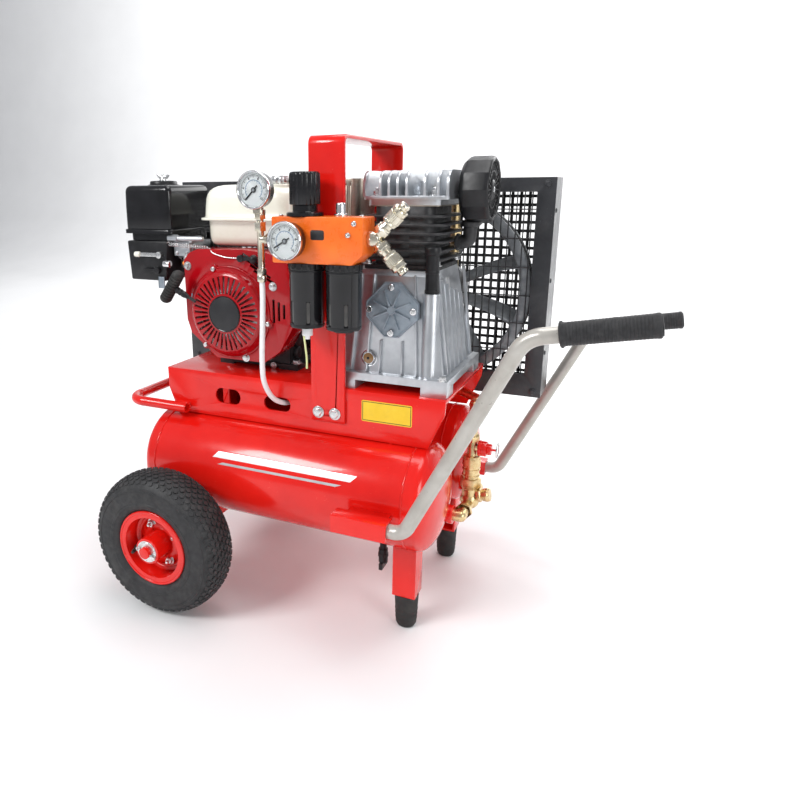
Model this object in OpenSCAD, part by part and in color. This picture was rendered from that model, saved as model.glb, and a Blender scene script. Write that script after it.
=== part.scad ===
// Wheelbarrow air compressor: petrol engine, belt driven twin piston pump,
// two air tanks, two pneumatic wheels, two front feet and two push handles.
// Millimetres. +Z up, +X towards the handles, +Y towards the belt guard.
// Origin on the floor, at the middle of the overall footprint.

/* [Wheels] */
// Outside radius of the pneumatic tyre
wheel_r = 130; // [128:1:132]
// Width of the tyre
tyre_w = 80; // [76:1:82]
// Distance from the machine's middle plane to the middle of a tyre
wheel_y = 255; // [252:1:262]

/* [Air tanks] */
// Outside radius of an air tank
tank_r = 91; // [88:1:91]
// Wall thickness of an air tank
tank_wall = 3; // [2:0.5:4]
// Height of the tank axis above the floor
tank_z = 233; // [232:1:234]

/* [Platform] */
// Half the depth of the platform
plat_hy = 128; // [127:1:128]
// Height of the platform's top face above the floor
plat_z = 405; // [404:0.5:405]
// Sheet thickness of the platform
plat_t = 5; // [4:0.5:5]

/* [Lifting bracket] */
// Height of the top of the lifting bracket above the floor
bracket_z = 798; // [780:1:820]
// Thickness of the lifting bracket's flat bar
bracket_t = 6; // [5:0.5:6]

/* [Handles] */
// Radius of the handle tube
tube_r = 11; // [10:0.5:11]
// Radius of the rubber grip
grip_r = 15; // [14:0.5:17]

/* [Engine] */
// Number of cooling slots in the recoil starter cover
recoil_slots = 36; // [24:2:40]

/* [Pump] */
// Outside radius of the pump flywheel
fly_r = 171; // [165:1:171]
// Number of blades in the pump flywheel
fly_blades = 9; // [6:1:9]

/* [Regulator] */
// Radius of the two bowls under the regulator
bowl_r = 27.5; // [25:0.5:28]
// Radius of the two pressure gauges
gauge_r = 28.5; // [26:0.5:28.5]

/* [Hidden] */
$fn = 64;
ox = -286;
tank_y = 105;
tank_x0 = -103;
tank_x1 = 461;
ex = 62;  ez = 512;      // engine shaft line
px = 360; pz = 536;      // pump shaft line
cx = 366;                // cylinder line
by1 = -54; by2 = 10;     // the two pump bores
belt_y = 163;
pul_r = 58;

// ---------- helpers ----------
module O() translate([ox, 0, 0]) children();

function unit(v) = v / norm(v);

// straight round bar between two points
module seg(a, b, r) {
  d = b - a; l = norm(d);
  translate(a) rotate([0, acos(d[2] / l), atan2(d[1], d[0])]) cylinder(h = l, r = r);
}

// box given by its two corners
module bx(a, b) translate(a) cube(b - a);

// cylinder along Y from y0 to y1
module cy(x, z, y0, y1, r) translate([x, y1, z]) rotate([90, 0, 0]) cylinder(h = y1 - y0, r = r);
// cylinder along X from x0 to x1
module cxx(y, z, x0, x1, r) translate([x0, y, z]) rotate([0, 90, 0]) cylinder(h = x1 - x0, r = r);
// XZ outline pulled along Y from y0 to y1
module xz(y0, y1) translate([0, y1, 0]) rotate([90, 0, 0]) linear_extrude(y1 - y0) children();
// YZ outline pulled along X from x0 to x1
module yz(x0, x1) translate([x0, 0, 0]) rotate([90, 0, 90]) linear_extrude(x1 - x0) children();

module rrect(x0, y0, x1, y1, r) {
  translate([x0 + r, y0]) square([x1 - x0 - 2 * r, y1 - y0]);
  translate([x0, y0 + r]) square([x1 - x0, y1 - y0 - 2 * r]);
  for (p = [[x0 + r, y0 + r], [x1 - r, y0 + r], [x0 + r, y1 - r], [x1 - r, y1 - r]])
    translate(p) circle(r);
}

// ring section pulled round the Y axis, profile as [radius, distance towards -Y]
module round_y(x, y, z) translate([x, y, z]) rotate([90, 0, 0]) rotate_extrude($fn = 72) children();

// bend of a round bar in the XZ plane
function ang(a, b) = atan2(b[1] - a[1], b[0] - a[0]);
function wrap(t) = t > 180 ? t - 360 : t < -180 ? t + 360 : t;
// tube with round bends, built piece by piece
module pipe(a, b, r, ri) difference() { seg(a, b, r, $fn = 32); seg(a - unit(b - a), b + unit(b - a), ri, $fn = 32); }
module bend_tube(v, a1, a2, br, r, ri) {
  th = wrap(a2 - a1);
  t = br * tan(abs(th) / 2);
  s = [v[0] - t * cos(a1), v[1] - t * sin(a1)];
  n = th > 0 ? a1 + 90 : a1 - 90;
  c = [s[0] + br * cos(n), s[1] + br * sin(n)];
  st = th > 0 ? n + 180 : n + 180 + th;
  // a touch fuller than the straight runs and lapped over their ends
  translate([c[0], 0, c[1]]) rotate([0, -st + 1.5, 0]) rotate([90, 0, 0])
    rotate_extrude(angle = abs(th) + 3, $fn = 96) translate([br, 0]) difference() { circle(r + 0.15, $fn = 32); circle(ri - 0.15, $fn = 32); }
}
module bent_tube(p, br, r, ri) {
  n = len(p);
  for (i = [0 : n - 2]) {
    a = ang(p[i], p[i + 1]);
    t0 = i == 0 ? 0 : br[i - 1] * tan(abs(wrap(a - ang(p[i - 1], p[i]))) / 2);
    t1 = i == n - 2 ? 0 : br[i] * tan(abs(wrap(ang(p[i + 1], p[i + 2]) - a)) / 2);
    q0 = [p[i][0] + t0 * cos(a), 0, p[i][1] + t0 * sin(a)];
    q1 = [p[i + 1][0] - t1 * cos(a), 0, p[i + 1][1] - t1 * sin(a)];
    pipe(q0, q1, r, ri);
    if (i > 0) bend_tube(p[i], ang(p[i - 1], p[i]), a, br[i - 1], r, ri);
  }
}

// hexagon bar along Y
module hexy(x, z, y0, y1, r) translate([x, y1, z]) rotate([90, 0, 0]) cylinder(h = y1 - y0, r = r, $fn = 6);
module hexz(x, y, z0, z1, r) translate([x, y, z0]) cylinder(h = z1 - z0, r = r, $fn = 6);
module hexx(y, z, x0, x1, r) translate([x0, y, z]) rotate([0, 90, 0]) cylinder(h = x1 - x0, r = r, $fn = 6);

// ---------- base frame ----------
skirt = [[-66, 400], [-66, 368], [-49, 324], [432, 324], [457, 382], [458, 400]];
module slot_xz(x, z, w, h) xz(-plat_hy - 5, -plat_hy + 10) rrect(x - w / 2, z - h / 2, x + w / 2, z + h / 2, h / 2 - 0.5);

module base_frame() color([0.85, 0.1, 0.08]) O() {
  difference() {
    union() {
      bx([-66, -plat_hy, plat_z - plat_t], [458, plat_hy, plat_z]);
      xz(-plat_hy, -plat_hy + 4) polygon(skirt);
      xz(plat_hy - 4, plat_hy) polygon(skirt);
      // rounded shoulder where the sheet folds
      // cross plates that sit on the two tanks
      for (x = [-30, 368]) yz(x, x + 4) difference() {
        translate([-plat_hy + 1, 250]) square([2 * plat_hy - 2, plat_z - 251]);
        for (s = [-1, 1]) translate([s * tank_y, tank_z]) circle(tank_r + 0.2, $fn = 96);
        translate([-12, 240]) square([24, 100]);
        for (s = [-1, 1]) translate([s * 115 - 15, 240]) square([30, 70]);
      }
    }
    slot_xz(63, 364, 52, 28);
    slot_xz(163, 363, 52, 25);
    // pipe hole through the platform
    translate([400, 108, 380]) cylinder(h = 40, r = 12);
    // middle lightening hole of the platform
    bx([190, -60, 380], [230, 60, 420]);
  }
  // bumper loop: one bent tube in a level plane
  translate([0, 0, 338]) rotate([-90, 0, 0])
    bent_tube([[-14, -147], [-150, -147], [-150, 147], [-14, 147]], [36, 36], 9, 6.5);
  // tabs between the loop and the skirts
  for (s = [-1, 1]) bx([-48, s > 0 ? plat_hy - 0.5 : -139.5, 333], [-20, s > 0 ? 139.5 : -plat_hy + 0.5, 343]);
}

module lifting_bracket() color([0.85, 0.1, 0.08]) O()
  difference() {
    yz(232, 292) difference() {
      rrect(-plat_hy - bracket_t, 340, plat_hy + bracket_t, bracket_z, 14);
      difference() {
        rrect(-plat_hy, 330, plat_hy, bracket_z - bracket_t, 8);
      }
      translate([-150, 330]) square([300, 15]);
    }
    for (x = [245, 275]) cy(x, 362, -140, 140, 4.05);
  }

// ---------- air tanks ----------
function dome(xe, s, r, d) = [for (a = [0 : 9 : 90]) [r * sin(a), xe - s * d * (1 - cos(a))]];
module tank_shape(r, d, x0, x1) rotate([0, 90, 0]) rotate_extrude($fn = 96)
  polygon(concat(dome(x1, 1, r, d), [for (i = [10 : -1 : 0]) dome(x0, -1, r, d)[i]]));
module one_tank(s) translate([0, s * tank_y, tank_z]) {
  difference() {
    union() {
      tank_shape(tank_r, 34, tank_x0, tank_x1);
      // rolled seams where the heads meet the shell
      for (x = [tank_x0 + 44, tank_x1 - 50]) rotate([0, 90, 0]) translate([0, 0, x]) cylinder(h = 4, r = tank_r - 0.4, $fn = 96);
    }
    tank_shape(tank_r - tank_wall, 33, tank_x0 + tank_wall, tank_x1 - tank_wall);
  }
}
module front_tank() color([0.85, 0.1, 0.08]) O() one_tank(-1);
module rear_tank() color([0.85, 0.1, 0.08]) O() one_tank(1);

// ---------- legs, feet, axle ----------
module leg(s) difference() {
  union() {
    // three-sided folded sheet, open towards the machine's middle
    bx([384, s > 0 ? 107 : -145, 60], [388, s > 0 ? 145 : -107, 185]);
    bx([420, s > 0 ? 107 : -145, 60], [424, s > 0 ? 145 : -107, 185]);
    bx([384, s > 0 ? 141 : -145, 60], [424, s > 0 ? 145 : -141, 185]);
    bx([384, s > 0 ? 107 : -145, 60], [424, s > 0 ? 145 : -107, 64]);
  }
  cxx(s * tank_y, tank_z, 370, 440, tank_r + 0.2, $fn = 96);
}
module support_legs() color([0.85, 0.1, 0.08]) O() {
  for (s = [-1, 1]) {
    leg(s);
    // axle carrier under each tank
    difference() {
      bx([-22, s * tank_y - 22, wheel_r - 16], [22, s * tank_y + 22, 160]);
      cxx(s * tank_y, tank_z, -40, 40, tank_r + 0.2, $fn = 96);
      cy(0, wheel_r, -200, 200, 10.02);
      bx([-16, s * tank_y - 18, wheel_r - 20], [16, s * tank_y + 18, 160]);
    }
  }
}
module rubber_feet() color([0.06, 0.06, 0.06]) O() for (s = [-1, 1]) translate([404, s * 126, 0]) {
  cylinder(h = 5, r1 = 15, r2 = 17.5);
  translate([0, 0, 5]) cylinder(h = 55, r1 = 17.5, r2 = 20.5);
}
module axle() color([0.75, 0.1, 0.08]) O() cy(0, wheel_r, -309, 309, 10);

// ---------- wheels ----------
module tyre(s) round_y(0, s * wheel_y, wheel_r) {
  w = tyre_w / 2;
  difference() {
    polygon([[58.3, -30.5], [69, -30.5], [71, -w + 4], [86, -w + 0.5], [104, -w], [118, -w + 5], [wheel_r - 4, -w + 15],
      [wheel_r, -w + 30], [wheel_r, w - 30], [wheel_r - 4, w - 15], [118, w - 5], [104, w], [86, w - 0.5], [71, w - 4], [69, 30.5], [58.3, 30.5]]);
    // air space
    polygon([[64, -22], [80, -w + 9], [104, -w + 8], [117, -w + 14], [121, 0], [117, w - 14], [104, w - 8], [80, w - 9], [64, 22]]);
  }
}
module rim(s) round_y(0, s * wheel_y, wheel_r) {
  translate([55.5, -31]) square([2.5, 62]);
  translate([55.5, -34]) square([12.5, 3.2]);
  translate([55.5, 30.8]) square([12.5, 3.2]);
  polygon([[22, -10], [30, -10], [44, -4], [56, -4], [56, -1.5], [43, -1.5], [29, -7], [22, -7]]);
  polygon([[22, 10], [30, 10], [44, 4], [56, 4], [56, 1.5], [43, 1.5], [29, 7], [22, 7]]);
  translate([19, -45]) square([4, 90]);
  // bearings pressed into both ends of the hub tube
  translate([10.05, -45]) square([9.5, 14]);
  translate([10.05, 31]) square([9.5, 14]);
}
module tyre_near() color([0.07, 0.07, 0.07]) O() tyre(-1);
module tyre_far() color([0.07, 0.07, 0.07]) O() tyre(1);
module rim_near() color([0.8, 0.1, 0.08]) O() rim(-1);
module rim_far() color([0.8, 0.1, 0.08]) O() rim(1);

// ---------- handles ----------
hn = [[330, 229], [431, 229], [584, 538], [734, 565.5]];
hf = [[376, 155], [477, 155], [630, 464], [778, 491]];
hy = 236;
module handle_sockets() color([0.85, 0.1, 0.08]) O() {
  difference() {
    union() {
      bx([318, -hy - 14, 215], [408, -hy + 14, 243]);
      bx([330, -hy + 13, 222], [398, -180, 236]);
    }
    cxx(-hy, 229, 314, 412, tube_r + 0.02);
    cxx(-tank_y, tank_z, 300, 430, tank_r + 0.2, $fn = 96);
  }
  difference() {
    union() {
      bx([364, hy - 14, 141], [454, hy + 14, 169]);
      bx([376, 145.1, 148], [420, hy - 13, 162]);
    }
    cxx(hy, 155, 360, 458, tube_r + 0.02);
    cxx(tank_y, tank_z, 300, 470, tank_r + 0.2, $fn = 96);
  }
}
module handle_tubes() color([0.62, 0.6, 0.56]) O() {
  translate([0, -hy, 0]) bent_tube(hn, [24, 42], tube_r, tube_r - 2);
  translate([0, hy, 0]) bent_tube(hf, [24, 42], tube_r, tube_r - 2);
}
module one_grip(a, b) {
  d = unit(b - a);
  difference() {
    union() {
      seg(a, b, grip_r);
      seg(a, a + 4 * d, grip_r + 2);
      seg(b - 1.5 * d, b + 3 * d, grip_r - 2);
    }
    seg(a - d, b, tube_r + 0.02);
  }
}
function along(p, i, t) = [p[i][0] + (p[i + 1][0] - p[i][0]) * t, p[i][1] + (p[i + 1][1] - p[i][1]) * t];
module grips() color([0.08, 0.08, 0.08]) O() {
  g0 = along(hn, 2, 0.27); g1 = along(hf, 2, 0.27);
  one_grip([g0[0], -hy, g0[1]], [734, -hy, 565.5]);
  one_grip([g1[0], hy, g1[1]], [778, hy, 491]);
}

// ---------- screws, washers and split pins ----------
module machine_screws() color([0.7, 0.7, 0.7]) O() {
  // lifting bracket bolts
  for (x = [245, 275]) hexy(x, 362, -plat_hy - bracket_t - 5, -plat_hy - bracket_t, 7.5);
  // pump feet
  for (x = [276, 446]) hexz(x, -111, 432.5, 439, 6);
  // engine feet
  for (x = [14, 159], y = [-45, 75]) hexz(x, y, 415, 421, 7.5);
  // fan cover screws
  for (p = [[150, 562], [92, 433.6], [-22, 590]]) hexy(p[0], p[1], -113, -108, 5);
  // bearing cover screws
  for (a = [0, 90, 180, 270]) cy(px + 36 * cos(a), pz + 36 * sin(a), -110, -106.1, 5);
  // head bolts
  for (x = [318, 411], y = [-66, 22]) hexz(x, y, 708.2, 716, 6.5);
  // axle washers and split pins
  for (s = [-1, 1]) {
    difference() {
      cy(0, wheel_r, s > 0 ? 300.4 : -302.4, s > 0 ? 302.4 : -300.4, 18);
      cy(0, wheel_r, -305, 305, 10.05);
    }
  }
}

// ---------- engine ----------
module engine_block() color([0.2, 0.2, 0.2]) O() {
  difference() {
    union() {
      bx([4, -60, plat_z], [168, 92, 415]);
      bx([26, -54, 414], [150, 95, 600]);
      bx([-10, -54, 500], [27, 95, 600]);
      cy(ex, ez, 94, 110, 44);
    }
    bx([32, -48, 421], [144, 89, 594]);
    bx([-4, -48, 506], [33, 89, 594]);
    cy(ex, ez, -60, 112, 12.05);
    bx([34, -70, 400], [130, 100, 409]);
    bx([-30, -24, 400], [170, 56, 409]);
  }
  // inclined cylinder with fins, towards the air cleaner
  for (i = [0 : 7]) bx([-92 + i * 10, -14, 562], [-88 + i * 10, 60, 624]);
  bx([-92, -4, 572], [-10.5, 50, 614]);
}
fan_o = [[-30, 600], [-30, 494], [-22, 470], [31, 428], [129, 428], [160, 450], [185, 492], [190, 544], [178, 601], [140, 618], [92, 622], [0, 620], [-18, 613]];
fan_i = [[-27, 597], [-27, 495], [-19.5, 472.5], [32, 431], [128, 431], [158, 452], [182, 493], [187, 544], [175.5, 599], [139, 615], [92, 619], [1, 617], [-16, 610.5]];
module fan_cover() color([0.6, 0.03, 0.06]) O() difference() {
  xz(-108, -57) polygon(fan_o);
  xz(-105, -50) polygon(fan_i);
  cy(ex, ez, -112, -100, 74);
  for (i = [0 : 3]) translate([112 + i * 7, -106.5, 604 - i * 9]) rotate([0, 28, 0]) cube([44, 8, 4.4], center = true);
  for (i = [0 : 2]) translate([150 + i * 10, -106.5, 520]) cube([4.6, 8, 40 - 8 * i], center = true);
}
module recoil_cover() color([0.6, 0.03, 0.06]) O() difference() {
  round_y(ex, -108, ez) polygon([[78, 0], [78, 3], [74, 6], [71, 12], [66, 15], [40, 17], [0, 17], [0, 14.5], [40, 14.5], [64, 12.5], [68, 10.5], [70.5, 5], [72, 3], [72, 0]]);
  for (i = [0 : recoil_slots - 1]) translate([ex, 0, ez]) rotate([0, i * 360 / recoil_slots, 0])
    bx([35, -128, -1.9], [64.5, -116, 1.9]);
}
module cooling_fan() color([0.25, 0.25, 0.26]) O() {
  cy(ex, ez, -98, -90, 68);
  for (i = [0 : 11]) translate([ex, 0, ez]) rotate([0, i * 30, 0]) bx([38, -104.5, -1.5], [66, -97, 1.5]);
  cy(ex, ez, -92, 182, 12);
}
module engine_pulley() color([0.3, 0.3, 0.31]) O() difference() {
  union() {
    round_y(ex, belt_y, ez) polygon([[12.05, -14], [pul_r, -14], [pul_r, -9], [pul_r - 10, -7.6], [pul_r - 10, 7.6], [pul_r, 9], [pul_r, 14], [12.05, 14]]);
  }
  for (i = [0 : 3]) translate([ex, 0, ez]) rotate([0, i * 90 + 45, 0]) cy(30, 0, 140, 185, 8);
}
module fuel_tank() color([0.88, 0.86, 0.78]) O() difference() {
  union() {
    translate([0, 0, 623]) linear_extrude(46) rrect(-2, -78, 168, 58, 20);
    translate([0, 0, 668]) linear_extrude(4) rrect(-13, -90, 179, 70, 26);
    translate([0, 0, 671]) linear_extrude(57) rrect(-8, -85, 174, 65, 24);
  }
  translate([0, 0, 626]) linear_extrude(99) rrect(1, -75, 165, 55, 18);
}
module fuel_cap() color([0.75, 0.75, 0.75]) O() translate([137, -48, 0]) {
  translate([0, 0, 728.3]) cylinder(h = 11, r = 20);
  translate([0, 0, 739]) cylinder(h = 3, r = 16);
  for (i = [0 : 5]) rotate(i * 60) bx([18, -4, 728.3], [21.5, 4, 738]);
}
module air_cleaner() color([0.07, 0.07, 0.07]) O() {
  difference() {
    union() {
      translate([0, 0, 650]) linear_extrude(78) rrect(-168, -95, -64, 34, 14);
      translate([0, 0, 643]) linear_extrude(8) rrect(-171, -98, -61, 37, 14);
      translate([0, 0, 630]) linear_extrude(14) rrect(-163, -88, -72, 30, 10);
    }
    translate([0, 0, 646]) linear_extrude(79) rrect(-165, -92, -67, 31, 12);
  }
  translate([-124, -30, 728]) cylinder(h = 9, r = 25);
  // wing nut
  translate([-124, -30, 737]) cylinder(h = 6, r = 6);
  bx([-136, -31.5, 740], [-112, -28.5, 749]);
}
module control_cover() color([0.08, 0.08, 0.08]) O()
  xz(-95, -18) polygon([[-167, 629.8], [-163, 558], [-82, 558], [-74, 629.8]]);
module carburettor() color([0.7, 0.7, 0.68]) O() {
  bx([-68, -84, 604], [-34, -18, 629.5]);
  cxx(-62, 610, -66, -32.2, 16);
  cxx(-92, 636, -70, 2, 4);
  hexx(-92, 636, -72, -52, 6.5);
  bx([-30, -90, 629], [-24, -60, 639]);
}
module muffler() color([0.45, 0.42, 0.38]) O() {
  difference() {
    translate([0, 0, 656]) linear_extrude(80) rrect(186, 4, 258, 92, 14);
    translate([0, 0, 658]) linear_extrude(76) rrect(188, 6, 256, 90, 12);
    for (i = [0 : 5]) bx([180, 0, 668 + i * 11], [187.5, 96, 672 + i * 11]);
    for (i = [0 : 6]) bx([194 + i * 8, 0, 664], [197 + i * 8, 5.5, 728]);
  }
  cxx(48, 580, 150, 206, 12);
  translate([206, 48, 580]) sphere(12);
  seg([206, 48, 580], [206, 48, 656], 12);
}
module recoil_grip() color([0.05, 0.05, 0.05]) O() {
  // hand grip with rounded ends, 66 mm long
  translate([-36.5, -138, 556]) rotate([0, atan2(41, 58), 0]) rotate_extrude($fn = 48)
    polygon([[0, -33], [5.5, -32.6], [9.2, -31], [11.4, -28], [12, -24], [12, 24], [11.4, 28], [9.2, 31], [5.5, 32.6], [0, 33]]);
  seg([-34, -138, 555], [-6, -134.4, 539], 6);
  seg([-10, -135, 541.5], [8, -133, 532], 4);
}
module choke_lever() color([0.75, 0.75, 0.75]) O() {
  bx([-136, -99, 602], [-88, -95.5, 609]);
  cy(-92, 605.5, -101, -95.5, 6);
}
module fuel_lever() color([0.1, 0.1, 0.1]) O() {
  bx([-128, -99, 574], [-96, -95.5, 580]);
  cy(-98, 577, -102, -95.5, 6);
}
module throttle_lever() color([0.07, 0.07, 0.07]) O() {
  bx([88, -113, 604], [118, -109, 610]);
  cy(90, 607, -114, -108.4, 6);
  translate([119, -116.3, 607]) sphere(7.5);
}

// ---------- regulator group ----------
ry = -172;
module regulator_body() color([0.95, 0.35, 0.08]) O() {
  difference() {
    xz(-196, -148) polygon([[200, 681], [200, 613], [330, 613], [347, 628], [347, 681]]);
    bx([266, -197, 652], [282, -192, 662]);
  }
  bx([236, -148.5, 622], [288, -134.2, 672]);
}
module filter_bowls() color([0.06, 0.06, 0.07]) O() for (x = [246, 308]) translate([x, ry, 0]) {
  translate([0, 0, 604]) cylinder(h = 9, r = bowl_r);
  difference() {
    translate([0, 0, 515]) cylinder(h = 90, r = bowl_r - 0.8);
    translate([0, 0, 519]) cylinder(h = 80, r = bowl_r - 4);
    for (a = [-60, -120]) rotate(a) bx([bowl_r - 6, -3, 522], [bowl_r + 2, 3, 556]);
  }
  if (x > 300) translate([0, 0, 511]) cylinder(h = 4, r = 16);
}
module bowl_drain() color([0.9, 0.9, 0.88]) O() translate([246, ry, 0]) {
  translate([0, 0, 500]) cylinder(h = 14.7, r = 8.5);
  translate([0, 0, 494]) cylinder(h = 7, r = 4);
}
module regulator_knob() color([0.06, 0.06, 0.07]) O() translate([245, ry, 0]) {
  translate([0, 0, 681.3]) cylinder(h = 6, r = 28);
  translate([0, 0, 687]) cylinder(h = 12, r = 19);
  translate([0, 0, 698]) cylinder(h = 47, r = 23);
}
module one_gauge(x, y, z) {
  difference() {
    cy(x, z, y - 24, y, gauge_r);
    cy(x, z, y - 25, y - 19, gauge_r - 3);
  }
  cy(x, z, y - 20, y - 18, 1.2);
}
module gauge_cases() color([0.2, 0.19, 0.18]) O() {
  one_gauge(169, -172, 719);
  one_gauge(233, -196.3, 647);
}
module one_needle(x, y, z, a) translate([x, y, z]) rotate([0, a, 0]) difference() {
  union() { cy(0, 0, -1, 0, 4); bx([-9, -1, -1], [20, 0, 1]); }
  cy(0, 0, -3, 3, 1.25);
}
module needle_stalk() color([0.05, 0.05, 0.05]) O() one_needle(169, -191.5, 719, 135);
module needle_regulator() color([0.05, 0.05, 0.05]) O() one_needle(233, -215.8, 647, 150);
module gauge_stalk() color([0.75, 0.72, 0.62]) O() {
  seg([169, -175, 579], [169, -175, 690.4], 5.5);
  hexz(169, -175, 676, 688, 9.5);
  hexz(169, -175, 658, 672, 9.5);
  hexz(169, -175, 590, 600, 8);
  cxx(-175, 645, 169, 199.8, 6);
  hexx(-175, 645, 180, 190, 9.5);
}
// flexible tube swept along its route
tube_path = [[169, -175, 579], [169, -175, 555], [168, -175, 530], [166, -174, 500], [163, -172, 470], [160, -168, 440], [158, -162, 415], [160, -152, 392], [165, -139, 375], [172, -122, 365], [178, -104, 361]];
function tdir(p, i) = unit(p[min(i + 1, len(p) - 1)] - p[max(i - 1, 0)]);
module sweep(p, r, n) {
  ref = [1, 0, 0];
  pts = [for (i = [0 : len(p) - 1]) let (t = tdir(p, i), u = unit(cross(t, ref)), v = cross(t, u))
    for (k = [0 : n - 1]) p[i] + r * (u * cos(k * 360 / n) + v * sin(k * 360 / n))];
  m = len(p);
  faces = concat(
    [[for (k = [0 : n - 1]) k]],
    [for (i = [0 : m - 2], k = [0 : n - 1]) [i * n + k, (i + 1) * n + k, (i + 1) * n + (k + 1) % n]],
    [for (i = [0 : m - 2], k = [0 : n - 1]) [i * n + k, (i + 1) * n + (k + 1) % n, i * n + (k + 1) % n]],
    [[for (k = [n - 1 : -1 : 0]) (m - 1) * n + k]]);
  polyhedron(points = pts, faces = faces);
}
module air_tube() color([0.92, 0.92, 0.9]) O() sweep(tube_path, 4.6, 12);
// two-way outlet
u1 = [0.7, 0, 0.714]; u2 = [0.7, 0, -0.714];
module arm(u) {
  seg([356, ry, 650], [356, ry, 650] + 57.8 * u, 8.5);
  // nozzle that takes the hose plug
  seg([356, ry, 650] + 57 * u, [356, ry, 650] + 66 * u, 7.5);
}
module y_manifold() color([0.72, 0.66, 0.5]) O() {
  cxx(ry, 650, 347.2, 358, 10);
  translate([356, ry, 650]) sphere(8.7);
  arm(u1); arm(u2);
  seg([356, ry, 650] + 12 * u1, [356, ry, 650] + 24 * u1, 10.5);
  seg([356, ry, 650] + 12 * u2, [356, ry, 650] + 24 * u2, 10.5);
}
module sleeve(u) difference() {
  seg([356, ry, 650] + 32 * u, [356, ry, 650] + 58 * u, 12);
  seg([356, ry, 650] + 30 * u, [356, ry, 650] + 60 * u, 8.8);
}
module coupler_upper() color([0.75, 0.7, 0.55]) O() sleeve(u1);
module coupler_lower() color([0.75, 0.7, 0.55]) O() sleeve(u2);

// ---------- pump ----------
module pump_crankcase() color([0.72, 0.73, 0.74]) O() difference() {
  union() {
    intersection() {
      xz(-102, 88) polygon([[270, 432], [444, 432], [424, 597], [292, 597]]);
      yz(260, 460) polygon([[-102, 432], [88, 432], [38, 597], [-92, 597]]);
    }
    bx([262, -118, 420], [456, 96, 432.5]);
    for (x = [262, 414], y = [-118, 58]) bx([x, y, plat_z], [x + 42, y + 38, 421]);
    cy(px, pz, -98.5, -84, 32);
    cy(px, pz, 40, 92, 40);
    // cooling ribs on the side face
    for (i = [0 : 4]) translate([444, -72 + i * 26, 432]) rotate([0, -6.9, 0]) bx([-4, 0, 2], [5, 4, 150 - i * 8]);
    // front corner column
    translate([420, -94, 432]) cylinder(h = 132, r = 13);
  }
  bx([306, -82, 442], [414, 28, 590]);
  cy(px, pz, -84, 94, 14.05);
  for (y = [by1, by2]) translate([cx, y, 585]) cylinder(h = 20, r = 26.2);
  // socket of the breather pipe
  translate([420, -94, 564]) cylinder(h = 40, r = 10.2);
}
module bearing_cover() color([0.5, 0.53, 0.56]) O() {
  xz(-106, -98.6) translate([px, pz]) {
    polygon([[12, 43.5], [43.5, 12], [43.5, -12], [12, -43.5], [-12, -43.5], [-43.5, -12], [-43.5, 12], [-12, 43.5]]);
  }
  for (a = [0 : 45 : 315]) translate([px, 0, pz]) rotate([0, a + 22.5, 0]) bx([6, -109, -1.2], [30, -105.5, 1.2]);
  cy(px, pz, -109, -105, 7);
}
module cylinder_block() color([0.06, 0.06, 0.06]) O() {
  difference() {
    union() {
      translate([0, 0, 597]) linear_extrude(97) rrect(cx - 48, -80, cx + 48, 36, 16);
      translate([0, 0, 597]) linear_extrude(7) rrect(cx - 62, -86, cx + 60, 37.5, 8);
      for (i = [0 : 5]) translate([0, 0, 611 + i * 13]) linear_extrude(4) rrect(cx - 66, -88, cx + 66, 44, 24);
    }
    for (y = [by1, by2]) translate([cx, y, 590]) cylinder(h = 110, r = 26);
  }
  // breather pipe standing on the corner column
  translate([420, -94, 564.2]) cylinder(h = 66, r = 10);
}
function arcfin(y0, y1, z0, z1, r) = concat([[y0, z0]], [for (a = [180 : -15 : 90]) [y0 + r + r * cos(a), z1 - r + r * sin(a)]],
  [for (a = [90 : -15 : 0]) [y1 - r + r * cos(a), z1 - r + r * sin(a)]], [[y1, z0]]);
module cylinder_head() color([0.7, 0.71, 0.72]) O() {
  translate([0, 0, 694]) linear_extrude(9) rrect(308, -80, 424, 36, 8);
  translate([0, 0, 702.8]) linear_extrude(5.4) rrect(302, -84, 438, 40, 6);
  for (x = [302, 328, 342, 356, 370.5, 399, 419.5, 434]) yz(x, x + 4) polygon(arcfin(-84, 40, 707, 746, 20));
  yz(328, 403) polygon([[-20, 707], [20, 707], [20, 730], [-20, 730]]);
}
module air_filter() color([0.05, 0.05, 0.05]) O() {
  translate([442, -12, 716]) rotate([0, 90, 0]) {
    difference() {
      union() {
        cylinder(h = 10, r1 = 42, r2 = 50, $fn = 12);
        translate([0, 0, 9.9]) cylinder(h = 38, r = 50, $fn = 12);
      }
      translate([0, 0, 42]) cylinder(h = 10, r = 44);
      translate([0, 0, 4]) cylinder(h = 36, r = 38);
    }
  }
  seg([454, -12, 636], [454, -12, 670], 11);
  translate([454, -12, 636]) sphere(11);
  seg([432.2, -12, 636], [454, -12, 636], 11);
}
module pump_crankshaft() color([0.5, 0.5, 0.5]) O() {
  cy(px, pz, -83, 182, 14);
  cy(px, pz + 16, by1 - 7, by1 + 7, 22);
  cy(px, pz - 16, by2 - 7, by2 + 7, 22);
}
module flywheel() color([0.35, 0.36, 0.38]) O() {
  difference() {
    union() {
      round_y(px, belt_y, pz) polygon([[150, -17], [fly_r, -17], [fly_r, -9.3], [fly_r - 10, -7.9], [fly_r - 10, 7.9], [fly_r, 9.3], [fly_r, 17], [150, 17]]);
      cy(px, pz, 143, 182, 34);
      cy(px, pz, 154, 172, 54);
      for (i = [0 : fly_blades - 1]) translate([px, belt_y, pz]) rotate([0, -20 + i * 360 / fly_blades, 0])
        rotate([28, 0, 0]) cube_blade();
    }
    cy(px, pz, 130, 190, 14.02);
  }
}
module cube_blade() translate([48, -3, -17]) cube([106, 6, 34]);
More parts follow.
